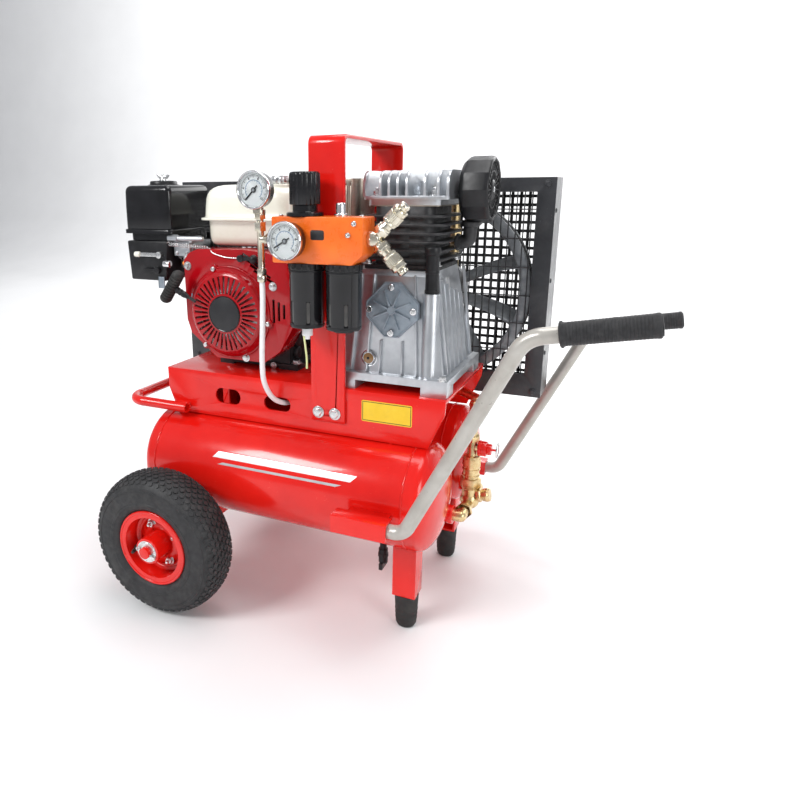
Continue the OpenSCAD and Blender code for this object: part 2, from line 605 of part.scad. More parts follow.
module piston(y) difference() {
  translate([cx, y, 622]) cylinder(h = 38, r = 25.7);
  translate([cx, y, 618]) cylinder(h = 34, r = 21);
}
module piston_front() color([0.75, 0.75, 0.76]) O() piston(by1);
module piston_rear() color([0.75, 0.75, 0.76]) O() piston(by2);

// ---------- delivery pipe, valves and drains ----------
dp = [[400, 40.2, 722], [400, 108, 722], [400, 108, 362], [474, 40, 362], [474, 0, 362], [474, 0, 272]];
module delivery_pipe() color([0.72, 0.55, 0.25]) O() {
  $fn = 28;
  for (i = [0 : 4]) seg(dp[i], dp[i + 1], 8);
  for (i = [1 : 4]) translate(dp[i]) sphere(8);
  // check valve with its hexagon, on the cross pipe between the tanks
  seg([474, 0, 206], [474, 0, 273], 14);
  hexz(474, 0, 214, 232, 18);
  hexz(474, 0, 254, 268, 16);
  seg([474, -62, 186], [474, 62, 186], 10);
  translate([474, 0, 190]) sphere(17);
  seg([474, 0, 190], [474, 0, 210], 14);
  seg([474, 0, 198], [500, 0, 203], 9);
  seg([497, 0, 202.4], [509, 0, 204.7], 11);
  for (s = [-1, 1]) { translate([474, s * 62, 186]) sphere(10); seg([457, s * 62, 186], [474, s * 62, 186], 10); }
  seg([474, 0, 288], [484.8, 0, 288], 6);
}
module safety_valve() color([0.8, 0.08, 0.08]) O() {
  cxx(0, 288, 485, 499, 13);
  cxx(0, 288, 499, 507, 9);
  cxx(0, 288, 507, 514, 2);
}
module safety_ring() color([0.7, 0.7, 0.7]) O() translate([517, 0, 288]) rotate([0, 0, 90]) rotate([90, 0, 0])
  difference() { cylinder(h = 2, r = 13, center = true); cylinder(h = 4, r = 10.5, center = true); }
module cock(s) {
  translate([353, s * tank_y, 0]) {
    translate([0, 0, 118]) cylinder(h = 23.6, r = 6);
    translate([0, 0, 94]) cylinder(h = 25, r = 8);
    bx([-3, -14, 84], [3, 14, 95]);
  }
}
module drain_cock_front() color([0.06, 0.06, 0.06]) O() cock(-1);
module drain_cock_rear() color([0.06, 0.06, 0.06]) O() cock(1);

// ---------- belt and guard ----------
bd = norm([px - ex, pz - ez]);
bk = asin((fly_r - pul_r) / bd);
module v_belt() color([0.05, 0.05, 0.05]) O() translate([ex, belt_y, ez]) rotate([0, -atan2(pz - ez, px - ex), 0]) rotate([90, 0, 0]) {
  // the two wrapped lengths
  rotate(90 + bk) rotate_extrude(angle = 180 - 2 * bk, $fn = 96) translate([pul_r - 9.5, -7]) square([9.5, 14]);
  translate([bd, 0, 0]) rotate(-90 - bk) rotate_extrude(angle = 180 + 2 * bk, $fn = 128) translate([fly_r - 9.5, -7]) square([9.5, 14]);
  // the two straight runs
  for (m = [0, 1]) mirror([0, m, 0]) rotate(bk) translate([-1.5, pul_r - 9.4, -6.9]) cube([bd * cos(bk) + 3, 9.3, 13.8]);
}

gx0 = -205; gx1 = 562; gz0 = 348; gz1 = 735; gy0 = 136; gy1 = 215;
module guard_frame() color([0.13, 0.13, 0.14]) O() {
  difference() {
    bx([gx0, gy0, gz0], [gx1, gy1, gz1]);
    bx([gx0 + 3, gy0 + 3, gz0 + 3], [gx1 - 3, gy1 - 3, gz1 - 3]);
    bx([gx0 + 32, gy0 - 5, gz0 + 42], [gx1 - 31, gy0 + 5, gz1 - 24]);
    bx([gx0 + 24, gy1 - 6, gz0 + 24], [gx1 - 24, gy1 + 5, gz1 - 24]);
  }
  for (x = [-40, 392]) bx([x, plat_hy + 0.2, 352], [x + 34, gy0 + 0.5, 384]);
}
module guard_grille() color([0.1, 0.1, 0.1]) O() difference() {
  bx([gx0 + 4, gy0 + 3.2, gz0 + 4], [gx1 - 4, gy0 + 5.2, gz1 - 4]);
  cy(px, pz, 120, 150, 20);
  cy(ex, ez, 120, 150, 20);
}
module guard_mesh() color([0.1, 0.1, 0.1]) O()
  bx([gx0 + 4, gy1 - 5.2, gz0 + 4], [gx1 - 4, gy1 - 3.2, gz1 - 4]);

base_frame();
lifting_bracket();
front_tank();
rear_tank();
support_legs();
rubber_feet();
axle();
handle_sockets();
handle_tubes();
grips();
machine_screws();
tyre_near();
rim_near();
tyre_far();
rim_far();
engine_block();
fan_cover();
recoil_cover();
cooling_fan();
engine_pulley();
fuel_tank();
fuel_cap();
air_cleaner();
control_cover();
carburettor();
muffler();
recoil_grip();
choke_lever();
fuel_lever();
throttle_lever();
regulator_body();
filter_bowls();
regulator_knob();
bowl_drain();
gauge_cases();
needle_stalk();
needle_regulator();
gauge_stalk();
air_tube();
y_manifold();
coupler_upper();
coupler_lower();
pump_crankcase();
bearing_cover();
cylinder_block();
cylinder_head();
air_filter();
pump_crankshaft();
flywheel();
piston_front();
piston_rear();
delivery_pipe();
safety_valve();
safety_ring();
drain_cock_front();
drain_cock_rear();
v_belt();
guard_frame();
guard_grille();
guard_mesh();
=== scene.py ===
import bpy, math, random
from mathutils import Vector, Matrix


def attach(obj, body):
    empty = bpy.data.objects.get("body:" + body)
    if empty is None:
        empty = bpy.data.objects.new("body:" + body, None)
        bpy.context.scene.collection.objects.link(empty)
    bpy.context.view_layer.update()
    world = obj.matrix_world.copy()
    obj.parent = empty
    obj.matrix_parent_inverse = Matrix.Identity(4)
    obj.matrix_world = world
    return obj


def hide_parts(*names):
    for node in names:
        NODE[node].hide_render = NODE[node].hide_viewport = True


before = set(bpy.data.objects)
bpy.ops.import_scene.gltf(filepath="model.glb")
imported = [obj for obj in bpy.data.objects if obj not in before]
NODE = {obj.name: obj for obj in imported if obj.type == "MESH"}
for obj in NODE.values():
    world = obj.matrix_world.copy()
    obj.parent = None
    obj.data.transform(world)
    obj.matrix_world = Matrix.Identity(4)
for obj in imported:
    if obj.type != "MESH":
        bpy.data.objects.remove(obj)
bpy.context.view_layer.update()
OX = -286.0
rnd = random.Random(7)


def W(x, y, z):
    """Machine coordinates in mm (x = 0 at the wheel axle) to the row frame in m."""
    return Vector(((x + OX) / 1000, y / 1000, z / 1000))


# ------------------------------------------------------------------ materials
def node(nt, kind, **kw):
    n = nt.nodes.new(kind)
    for k, v in kw.items():
        if k in n.inputs:
            n.inputs[k].default_value = v
        else:
            setattr(n, k, v)
    return n


def ramp(nt, stops):
    r = nt.nodes.new("ShaderNodeValToRGB")
    e = r.color_ramp.elements
    while len(e) < len(stops):
        e.new(0.5)
    for i, (p, c) in enumerate(stops):
        e[i].position = p
        e[i].color = (*c, 1) if len(c) == 3 else c
    return r


def noise(nt, co, scale, detail=4, rough=0.55, dist=0.0):
    n = node(nt, "ShaderNodeTexNoise")
    n.inputs["Scale"].default_value = scale
    n.inputs["Detail"].default_value = detail
    n.inputs["Roughness"].default_value = rough
    n.inputs["Distortion"].default_value = dist
    nt.links.new(co, n.inputs["Vector"])
    return n.outputs["Fac"]


def stretch(nt, co, s):
    m = node(nt, "ShaderNodeMapping")
    m.inputs["Scale"].default_value = s
    nt.links.new(co, m.inputs["Vector"])
    return m.outputs["Vector"]


def maprange(nt, val, a, b, lo=0.3, hi=0.7):
    m = node(nt, "ShaderNodeMapRange")
    m.inputs["From Min"].default_value = lo
    m.inputs["From Max"].default_value = hi
    m.inputs["To Min"].default_value = a
    m.inputs["To Max"].default_value = b
    nt.links.new(val, m.inputs["Value"])
    return m.outputs["Result"]


def mat(name, c1, c2, metal=0.0, rough=(0.3, 0.45), cs=40.0, rs=90.0, bump=0.15, bs=500.0, bd=0.0004, coat=0.0,
        coatr=0.08, spec=0.5, specks=None, brushed=None, trans=0.0, grime=None, sheen=0.0, bump2=None):
    m = bpy.data.materials.new(name)
    m.use_nodes = True
    nt = m.node_tree
    b = nt.nodes["Principled BSDF"]
    L = nt.links.new
    co = node(nt, "ShaderNodeTexCoord").outputs["Object"]
    f = noise(nt, co, cs, 5)
    r = ramp(nt, [(0.32, c1), (0.68, c2)])
    L(f, r.inputs["Fac"])
    col = r.outputs["Color"]
    rv = maprange(nt, noise(nt, stretch(nt, co, brushed) if brushed else co, rs, 6, 0.6), rough[0], rough[1])
    if grime:  # dust or dirt that gathers in broad soft patches: (colour, scale, amount)
        g = noise(nt, co, grime[1], 8, 0.65, 0.4)
        k = maprange(nt, g, 0.0, grime[2], 0.5, 0.78)
        mx = node(nt, "ShaderNodeMix", data_type="RGBA")
        L(k, mx.inputs[0])
        L(col, mx.inputs[6])
        mx.inputs[7].default_value = (*grime[0], 1)
        col = mx.outputs[2]
        ad = node(nt, "ShaderNodeMath", operation="MULTIPLY_ADD")
        L(k, ad.inputs[0])
        ad.inputs[1].default_value = 0.35
        L(rv, ad.inputs[2])
        rv = ad.outputs[0]
    if specks:  # fine chips or flakes: (colour, scale, threshold)
        v = node(nt, "ShaderNodeTexVoronoi")
        v.inputs["Scale"].default_value = specks[1]
        L(co, v.inputs["Vector"])
        k = maprange(nt, v.outputs["Distance"], 1.0, 0.0, specks[2] * 0.7, specks[2])
        gate = noise(nt, co, specks[1] * 0.13, 2)
        k2 = maprange(nt, gate, 0.0, 1.0, 0.58, 0.66)
        mu = node(nt, "ShaderNodeMath", operation="MULTIPLY")
        L(k, mu.inputs[0])
        L(k2, mu.inputs[1])
        mx = node(nt, "ShaderNodeMix", data_type="RGBA")
        L(mu.outputs[0], mx.inputs[0])
        L(col, mx.inputs[6])
        mx.inputs[7].default_value = (*specks[0], 1)
        col = mx.outputs[2]
    L(col, b.inputs["Base Color"])
    L(rv, b.inputs["Roughness"])
    h = noise(nt, stretch(nt, co, brushed) if brushed else co, bs, 4, 0.6)
    bp = node(nt, "ShaderNodeBump")
    bp.inputs["Strength"].default_value = bump
    bp.inputs["Distance"].default_value = bd
    L(h, bp.inputs["Height"])
    last = bp.outputs["Normal"]
    if bump2:  # a second, broader unevenness: (strength, scale, distance)
        b2 = node(nt, "ShaderNodeBump")
        b2.inputs["Strength"].default_value = bump2[0]
        b2.inputs["Distance"].default_value = bump2[2]
        L(noise(nt, co, bump2[1], 2), b2.inputs["Height"])
        L(last, b2.inputs["Normal"])
        last = b2.outputs["Normal"]
    L(last, b.inputs["Normal"])
    b.inputs["Metallic"].default_value = metal
    b.inputs["Specular IOR Level"].default_value = spec
    b.inputs["Coat Weight"].default_value = coat
    b.inputs["Coat Roughness"].default_value = coatr
    b.inputs["Transmission Weight"].default_value = trans
    b.inputs["Sheen Weight"].default_value = sheen
    return m


RED = mat("red_enamel", (0.68, 0.007, 0.004), (0.82, 0.014, 0.008), rough=(0.16, 0.27), cs=9, rs=24, bump=0.10, bs=420,
          bd=0.0003, coat=0.38, coatr=0.05, spec=0.32, specks=((0.9, 0.28, 0.2), 260, 0.09), bump2=(0.12, 34, 0.0012))
CRIMSON = mat("crimson_cover", (0.34, 0.0012, 0.004), (0.44, 0.0025, 0.008), rough=(0.14, 0.22), cs=14, rs=40, bump=0.12,
              bs=380, bd=0.0003, coat=0.45, coatr=0.03, spec=0.28, bump2=(0.10, 60, 0.0008))
CREAM = mat("cream_enamel", (0.84, 0.83, 0.70), (0.90, 0.89, 0.79), rough=(0.18, 0.28), cs=12, rs=30, bump=0.08, bs=350,
            bd=0.0003, coat=0.4, coatr=0.08, bump2=(0.10, 30, 0.001), grime=((0.62, 0.57, 0.45), 30, 0.25))
BLACKP = mat("black_moulding", (0.008, 0.008, 0.009), (0.018, 0.018, 0.02), rough=(0.28, 0.42), cs=50, rs=60, bump=0.28,
             bs=1500, bd=0.0002, spec=0.34, grime=((0.09, 0.09, 0.09), 60, 0.10))
BLACKG = mat("black_gloss", (0.005, 0.005, 0.006), (0.011, 0.011, 0.013), rough=(0.12, 0.22), cs=30, rs=50, bump=0.08,
             bs=700, bd=0.0002, coat=0.2, coatr=0.05, spec=0.34)
FOAM = mat("ribbed_foam", (0.009, 0.009, 0.010), (0.022, 0.022, 0.024), rough=(0.62, 0.82), cs=120, rs=200, bump=0.6,
           bs=1400, bd=0.0005, grime=((0.12, 0.115, 0.11), 70, 0.25), sheen=0.1)
TYRE = mat("tyre_rubber", (0.012, 0.012, 0.013), (0.026, 0.026, 0.028), rough=(0.50, 0.70), cs=70, rs=120, bump=0.35,
           bs=900, bd=0.0004, grime=((0.11, 0.105, 0.10), 45, 0.4))
RUBBER = mat("black_rubber", (0.010, 0.010, 0.010), (0.022, 0.021, 0.02), rough=(0.55, 0.75), cs=60, rs=120, bump=0.3,
             bs=1100, bd=0.0003, grime=((0.13, 0.12, 0.11), 50, 0.3))
ALU = mat("cast_aluminium", (0.52, 0.54, 0.565), (0.60, 0.62, 0.645), metal=0.9, rough=(0.28, 0.42), cs=60, rs=160,
          bump=0.35, bs=1300, bd=0.0003, bump2=(0.12, 90, 0.0006), grime=((0.34, 0.35, 0.37), 30, 0.16))
ALUM = mat("machined_aluminium", (0.68, 0.69, 0.70), (0.80, 0.81, 0.82), metal=1.0, rough=(0.22, 0.36), cs=80, rs=300,
           bump=0.2, bs=700, bd=0.0002, brushed=(1, 1, 14))
GREYC = mat("grey_cast_cover", (0.26, 0.31, 0.36), (0.36, 0.41, 0.46), metal=0.6, rough=(0.36, 0.5), cs=100, rs=200,
            bump=0.45, bs=1000, bd=0.0004, bump2=(0.2, 150, 0.0006))
IRON = mat("flywheel_iron", (0.22, 0.23, 0.245), (0.34, 0.355, 0.37), metal=0.75, rough=(0.38, 0.55), cs=70, rs=160, bump=0.45,
           bs=700, bd=0.0005, bump2=(0.3, 90, 0.001), grime=((0.16, 0.16, 0.165), 28, 0.5))
CASTBLK = mat("black_cast", (0.012, 0.012, 0.013), (0.032, 0.032, 0.034), rough=(0.36, 0.54), cs=90, rs=140, bump=0.5,
              bs=800, bd=0.0005, bump2=(0.3, 110, 0.0008), grime=((0.10, 0.10, 0.10), 50, 0.25))
ZINC = mat("zinc_plated", (0.62, 0.63, 0.64), (0.80, 0.80, 0.80), metal=1.0, rough=(0.20, 0.36), cs=200, rs=260, bump=0.15,
           bs=900, bd=0.0002, grime=((0.42, 0.38, 0.28), 120, 0.3))
CHROME = mat("polished_steel", (0.72, 0.72, 0.73), (0.84, 0.84, 0.85), metal=1.0, rough=(0.07, 0.16), cs=120, rs=200,
             bump=0.05, bs=600, bd=0.0002)
NICKEL = mat("nickel_brass", (0.66, 0.60, 0.47), (0.80, 0.76, 0.65), metal=1.0, rough=(0.16, 0.28), cs=90, rs=160, bump=0.12,
             bs=700, bd=0.0002, grime=((0.44, 0.35, 0.22), 80, 0.18))
BRASS = mat("brass", (0.68, 0.49, 0.24), (0.84, 0.67, 0.38), metal=1.0, rough=(0.22, 0.38), cs=110, rs=180, bump=0.2,
            bs=800, bd=0.0003, grime=((0.42, 0.27, 0.12), 60, 0.3))
WARM = mat("heat_tinted_steel", (0.30, 0.26, 0.21), (0.50, 0.46, 0.40), metal=0.95, rough=(0.3, 0.5), cs=22, rs=120, bump=0.25,
           bs=500, bd=0.0003, brushed=(1, 1, 8), grime=((0.20, 0.13, 0.08), 35, 0.6))
TUBE = mat("greige_tube", (0.43, 0.405, 0.365), (0.52, 0.50, 0.46), metal=0.25, rough=(0.26, 0.38), cs=30, rs=70, bump=0.15,
           bs=600, bd=0.0003, coat=0.25, coatr=0.15, specks=((0.25, 0.2, 0.15), 300, 0.10), grime=((0.30, 0.27, 0.23), 40, 0.25))
ORANGE = mat("orange_moulding", (0.84, 0.135, 0.010), (0.94, 0.185, 0.016), rough=(0.24, 0.36), cs=30, rs=60, bump=0.12,
             bs=700, bd=0.0003, coat=0.2, coatr=0.1, bump2=(0.08, 50, 0.0006))
WHITE = mat("white_polymer", (0.82, 0.83, 0.84), (0.90, 0.905, 0.91), rough=(0.22, 0.34), cs=60, rs=90, bump=0.06, bs=500,
            bd=0.0002, coat=0.2)
DIAL = mat("dial_white", (0.95, 0.96, 0.96), (0.98, 0.985, 0.985), rough=(0.42, 0.5), cs=60, rs=90, bump=0.03, bs=900, bd=0.0001)
BLACK_INK_AND_SHADE = mat("black_ink_and_painted_shade", (0.010, 0.010, 0.012), (0.018, 0.018, 0.02), rough=(0.4, 0.5), cs=60, rs=90, bump=0.03, bs=900, bd=0.0001)
INKB = mat("dial_blue", (0.05, 0.16, 0.34), (0.06, 0.20, 0.40), rough=(0.4, 0.5), cs=60, rs=90, bump=0.03, bs=900, bd=0.0001)
YELLOW = mat("yellow_label", (0.86, 0.57, 0.012), (0.92, 0.64, 0.03), rough=(0.3, 0.42), cs=40, rs=90, bump=0.05, bs=500, bd=0.0001,
             grime=((0.55, 0.36, 0.05), 70, 0.2))
BLUE = mat("blue_sticker", (0.22, 0.48, 0.62), (0.28, 0.56, 0.70), rough=(0.3, 0.42), cs=40, rs=90, bump=0.05, bs=500, bd=0.0001)
SILVERF = mat("silver_film", (0.60, 0.61, 0.62), (0.70, 0.71, 0.72), metal=0.75, rough=(0.28, 0.42), cs=40, rs=120, bump=0.05,
              bs=900, bd=0.0001, grime=((0.45, 0.4, 0.4), 40, 0.25))
DARKLBL = mat("dark_label", (0.010, 0.010, 0.012), (0.018, 0.018, 0.021), rough=(0.4, 0.5), cs=40, rs=90, bump=0.06, bs=700, bd=0.0001)
GUARD = mat("guard_paint", (0.020, 0.021, 0.024), (0.036, 0.037, 0.042), rough=(0.26, 0.42), cs=24, rs=60, bump=0.2, bs=500,
            bd=0.0003, coat=0.2, coatr=0.15, specks=((0.16, 0.16, 0.17), 240, 0.10), grime=((0.13, 0.125, 0.12), 26, 0.3))
WIRE = mat("black_wire", (0.018, 0.018, 0.020), (0.040, 0.040, 0.043), rough=(0.34, 0.5), cs=60, rs=120, bump=0.2, bs=800, bd=0.0002)
OIL = mat("oil_window", (0.20, 0.10, 0.03), (0.30, 0.16, 0.05), rough=(0.08, 0.16), cs=80, rs=90, bump=0.03, bs=500, bd=0.0002,
          coat=0.8, coatr=0.03)
SMOKE = mat("smoky_window", (0.030, 0.028, 0.026), (0.050, 0.046, 0.042), rough=(0.06, 0.14), cs=80, rs=90, bump=0.03, bs=500, bd=0.0002,
            coat=0.9, coatr=0.03)
LIME = mat("drain_hose", (0.62, 0.68, 0.30), (0.72, 0.76, 0.40), rough=(0.25, 0.35), cs=80, rs=90, bump=0.05, bs=700, bd=0.0002)
ORTIP = mat("orange_tip", (0.80, 0.22, 0.04), (0.88, 0.3, 0.06), rough=(0.3, 0.4), cs=80, rs=90, bump=0.1, bs=700, bd=0.0002)

GLASS = bpy.data.materials.new("gauge_glass")
GLASS.use_nodes = True
_nt = GLASS.node_tree
_b = _nt.nodes["Principled BSDF"]
_b.inputs["Base Color"].default_value = (0.95, 0.97, 0.97, 1)
_b.inputs["Transmission Weight"].default_value = 1.0
_b.inputs["IOR"].default_value = 1.2
_co = node(_nt, "ShaderNodeTexCoord").outputs["Object"]
_nt.links.new(maprange(_nt, noise(_nt, _co, 120, 3), 0.01, 0.06), _b.inputs["Roughness"])
_gb = node(_nt, "ShaderNodeBump")
_gb.inputs["Strength"].default_value = 0.02
_gb.inputs["Distance"].default_value = 0.0002
_nt.links.new(noise(_nt, _co, 60, 2), _gb.inputs["Height"])
_nt.links.new(_gb.outputs["Normal"], _b.inputs["Normal"])


# ------------------------------------------------------------------ mesh kit (mm, machine coordinates)
def basis(axis):
    a = Vector(axis).normalized()
    t = Vector((0, 0, 1)) if abs(a.z) < 0.9 else Vector((1, 0, 0))
    u = a.cross(t).normalized()
    v = a.cross(u).normalized()
    return u, v, a


class Mesh:
    def __init__(self):
        self.v, self.f, self.m = [], [], []
        self.cur = 0

    def add(self, vs, fs):
        n = len(self.v)
        self.v += [Vector(p) for p in vs]
        self.f += [tuple(i + n for i in f) for f in fs]
        self.m += [self.cur] * len(fs)
        return self

    def mat(self, i):
        self.cur = i
        return self

    def lathe(self, prof, origin, axis, seg=48, a0=0.0, lobes=None, close=False, ref=None):
        """Revolve (r, h) points about an axis; r <= 0 closes with a pole. lobes=(count, depth) flutes the radius."""
        u, v, a = basis(axis)
        if ref is not None:
            u = (Vector(ref) - a * Vector(ref).dot(a)).normalized()
            v = a.cross(u)
        o = Vector(origin)
        rings, vs, fs = [], [], []
        for p in prof:
            r, h = p[0], p[1]
            k = p[2] if len(p) > 2 else 1.0
            if r <= 1e-6:
                rings.append([len(vs)])
                vs.append(o + a * h)
                continue
            ring = []
            for i in range(seg):
                t = a0 + 2 * math.pi * i / seg
                rr = r
                if lobes:
                    rr = r - k * lobes[1] * (0.5 - 0.5 * math.cos(lobes[0] * t)) ** (lobes[2] if len(lobes) > 2 else 1)
                ring.append(len(vs))
                vs.append(o + a * h + (u * math.cos(t) + v * math.sin(t)) * rr)
            rings.append(ring)
        pairs = list(zip(rings, rings[1:])) + ([(rings[-1], rings[0])] if close else [])
        for p, q in pairs:
            for i in range(seg):
                j = (i + 1) % seg
                if len(p) == 1 and len(q) == 1:
                    continue
                if len(p) == 1:
                    fs.append((p[0], q[i], q[j]))
                elif len(q) == 1:
                    fs.append((p[j], p[i], q[0]))
                else:
                    fs.append((p[j], p[i], q[i], q[j]))
        return self.add(vs, fs)

    def tube(self, pts, r, n=12, caps=True, radii=None, closed=False):
        pts = [Vector(p) for p in pts]
        m = len(pts)
        tan = []
        for i in range(m):
            a = pts[(i - 1) % m] if closed else pts[max(i - 1, 0)]
            b = pts[(i + 1) % m] if closed else pts[min(i + 1, m - 1)]
            tan.append((b - a).normalized())
        u, v, _ = basis(tan[0])
        vs, fs = [], []
        for i in range(m):
            if i:
                q = tan[i - 1].rotation_difference(tan[i])
                u = (q @ u).normalized()
                v = tan[i].cross(u).normalized()
                u = v.cross(tan[i]).normalized()
            rr = radii[i] if radii else r
            for k in range(n):
                t = 2 * math.pi * k / n
                vs.append(pts[i] + (u * math.cos(t) + v * math.sin(t)) * rr)
        last = m if closed else m - 1
        for i in range(last):
            for k in range(n):
                a, b = i * n, ((i + 1) % m) * n
                fs.append((a + k, a + (k + 1) % n, b + (k + 1) % n, b + k))
        if caps and not closed:
            fs.append(tuple(reversed(range(n))))
            fs.append(tuple(range((m - 1) * n, m * n)))
        return self.add(vs, fs)

    def box(self, a, b, R=None, at=None):
        x0, y0, z0 = a
        x1, y1, z1 = b
        vs = [Vector(p) for p in ((x0, y0, z0), (x1, y0, z0), (x1, y1, z0), (x0, y1, z0), (x0, y0, z1), (x1, y0, z1), (x1, y1, z1), (x0, y1, z1))]
        if R is not None:
            c = Vector(at) if at is not None else (Vector(a) + Vector(b)) / 2
            vs = [c + R @ (p - c) for p in vs] if at is None else [c + R @ p for p in vs]
        return self.add(vs, [(3, 2, 1, 0), (4, 5, 6, 7), (0, 1, 5, 4), (1, 2, 6, 5), (2, 3, 7, 6), (3, 0, 4, 7)])

    def prism(self, pts, lift, d):
        """Closed outline of 3-D points pushed along d."""
        n = len(pts)
        d = Vector(d)
        vs = [Vector(p) for p in pts] + [Vector(p) + d for p in pts]
        fs = [tuple(reversed(range(n))), tuple(range(n, 2 * n))]
        for i in range(n):
            j = (i + 1) % n
            fs.append((i, j, n + j, n + i))
        return self.add(vs, fs)

    def loft(self, rings, caps=True):
        n = len(rings[0])
        vs = [Vector(p) for r in rings for p in r]
        fs = []
        for i in range(len(rings) - 1):
            for k in range(n):
                j = (k + 1) % n
                fs.append((i * n + k, i * n + j, (i + 1) * n + j, (i + 1) * n + k))
        if caps:
            fs.append(tuple(reversed(range(n))))
            fs.append(tuple(range((len(rings) - 1) * n, len(rings) * n)))
        return self.add(vs, fs)

    def hexbolt(self, o, axis, r, h, washer=True, turn=0.3):
        """Hexagon head with chamfered top and a washer face."""
        u, v, a = basis(axis)
        o = Vector(o)
        if washer:
            self.lathe([(r * 0.5, 0), (r * 1.3, 0), (r * 1.36, 0.25), (r * 1.36, 1.2), (r * 1.28, 1.5), (r * 0.5, 1.5)], o, a, 28)
            o = o + a * 1.5
            h = h - 1.5
        prof = [(0.98, 0.0), (1.0, 0.04 * r), (1.0, h - 0.18 * r), (0.86, h), (0.0, h)]
        vs, fs, rings = [], [], []
        for k, z in prof:
            if k == 0:
                rings.append([len(vs)])
                vs.append(o + a * z)
                continue
            ring = []
            for i in range(6):
                t = turn + math.pi / 3 * i
                ring.append(len(vs))
                vs.append(o + a * z + (u * math.cos(t) + v * math.sin(t)) * r * k)
            rings.append(ring)
        for p, q in zip(rings, rings[1:]):
            for i in range(6):
                j = (i + 1) % 6
                if len(q) == 1:
                    fs.append((p[j], p[i], q[0]))
                else:
                    fs.append((p[j], p[i], q[i], q[j]))
        return self.add(vs, fs)

    def socket_screw(self, o, axis, r, h):
        """Round cap screw with a hexagon socket."""
        u, v, a = basis(axis)
        o = Vector(o)
        self.lathe([(r * 0.9, 0), (r, 0.1 * r), (r, h - 0.25 * r), (r * 0.85, h), (r * 0.55, h)], o, a, 30)
        n, vs, fs = 30, [], []
        top = [o + a * h + (u * math.cos(2 * math.pi * i / n) + v * math.sin(2 * math.pi * i / n)) * r * 0.55 for i in range(n)]
        bot = []
        for i in range(n):
            t = 2 * math.pi * i / n
            k = r * 0.46 / max(math.cos((t % (math.pi / 3)) - math.pi / 6), 0.5) * 0.95
            bot.append(o + a * (h - 0.5 * r) + (u * math.cos(t) + v * math.sin(t)) * k)
        vs = top + bot + [o + a * (h - 0.5 * r)]
        for i in range(n):
            j = (i + 1) % n
            fs += [(j, i, n + i, n + j), (n + j, n + i, 2 * n)]
        return self.add(vs, fs)

    def obj(self, name, body, mats, slot=None, angle=32, bevel=0.0, seg=2, sub=0, replaces=(), weld=False):
        me = bpy.data.meshes.new(name)
        me.from_pydata([W(*p) for p in self.v], [], self.f)
        me.validate()
        if not isinstance(mats, (list, tuple)):
            mats = [mats]
        for m in mats:
            me.materials.append(m)
        if len(mats) > 1:
            me.polygons.foreach_set("material_index", self.m)
        me.polygons.foreach_set("use_smooth", [True] * len(me.polygons))
        me.update()
        o = bpy.data.objects.new(name, me)
        bpy.context.scene.collection.objects.link(o)
        if weld:
            w = o.modifiers.new("weld", "WELD")
            w.merge_threshold = 0.00002
        if bevel:
            b = o.modifiers.new("bevel", "BEVEL")
            b.width = bevel / 1000
            b.segments = seg
            b.limit_method = "ANGLE"
            b.angle_limit = math.radians(30)
            b.harden_normals = False
            b.miter_outer = "MITER_ARC"
        if sub:
            s = o.modifiers.new("subd", "SUBSURF")
            s.levels = s.render_levels = sub
        smooth_mod(o, angle)
        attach(o, body)
        if replaces:
            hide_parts(*replaces)
        return o


_groups = {}


def smooth_group(angle):
    if angle in _groups:
        return _groups[angle]
    g = bpy.data.node_groups.new("smooth_%d" % angle, "GeometryNodeTree")
    g.interface.new_socket("Geometry", in_out="INPUT", socket_type="NodeSocketGeometry")
    g.interface.new_socket("Geometry", in_out="OUTPUT", socket_type="NodeSocketGeometry")
    gi, go = g.nodes.new("NodeGroupInput"), g.nodes.new("NodeGroupOutput")
    s1, s2 = g.nodes.new("GeometryNodeSetShadeSmooth"), g.nodes.new("GeometryNodeSetShadeSmooth")
    s1.domain, s2.domain = "FACE", "EDGE"
    s1.inputs["Shade Smooth"].default_value = True
    s2.inputs["Shade Smooth"].default_value = False
    ea = g.nodes.new("GeometryNodeInputMeshEdgeAngle")
    c = g.nodes.new("FunctionNodeCompare")
    c.data_type, c.operation = "FLOAT", "GREATER_THAN"
    c.inputs["B"].default_value = math.radians(angle)
    L = g.links.new
    L(gi.outputs[0], s1.inputs["Geometry"])
    L(s1.outputs[0], s2.inputs["Geometry"])
    L(ea.outputs["Unsigned Angle"], c.inputs["A"])
    L(c.outputs["Result"], s2.inputs["Selection"])
    L(s2.outputs[0], go.inputs[0])
    _groups[angle] = g
    return g


def smooth_mod(o, angle):
    m = o.modifiers.new("smooth", "NODES")
    m.node_group = smooth_group(angle)


def dress(name, material, bevel=0.0, angle=32, seg=2):
    """Material, rounded edges and smooth shading for a CAD node; its own vertices stay as they are."""
    o = NODE[name]
    me = o.data
    for k in ("custom_normal", "sharp_edge", "sharp_face"):
        if k in me.attributes:
            me.attributes.remove(me.attributes[k])
    me.materials.clear()
    me.materials.append(material)
    w = o.modifiers.new("weld", "WELD")
    w.merge_threshold = 0.00002
    if bevel:
        b = o.modifiers.new("bevel", "BEVEL")
        b.width = bevel / 1000
        b.segments = seg
        b.limit_method = "ANGLE"
        b.angle_limit = math.radians(34)
        b.miter_outer = "MITER_ARC"
    smooth_mod(o, angle)


def rrect(x0, y0, x1, y1, r, n=8):
    """Rounded rectangle outline, counter-clockwise, 4 * (n + 1) points."""
    out = []
    for cx, cy, a in ((x1 - r, y1 - r, 0), (x0 + r, y1 - r, 90), (x0 + r, y0 + r, 180), (x1 - r, y0 + r, 270)):
        for i in range(n + 1):
            t = math.radians(a + 90 * i / n)
            out.append((cx + r * math.cos(t), cy + r * math.sin(t)))
    return out


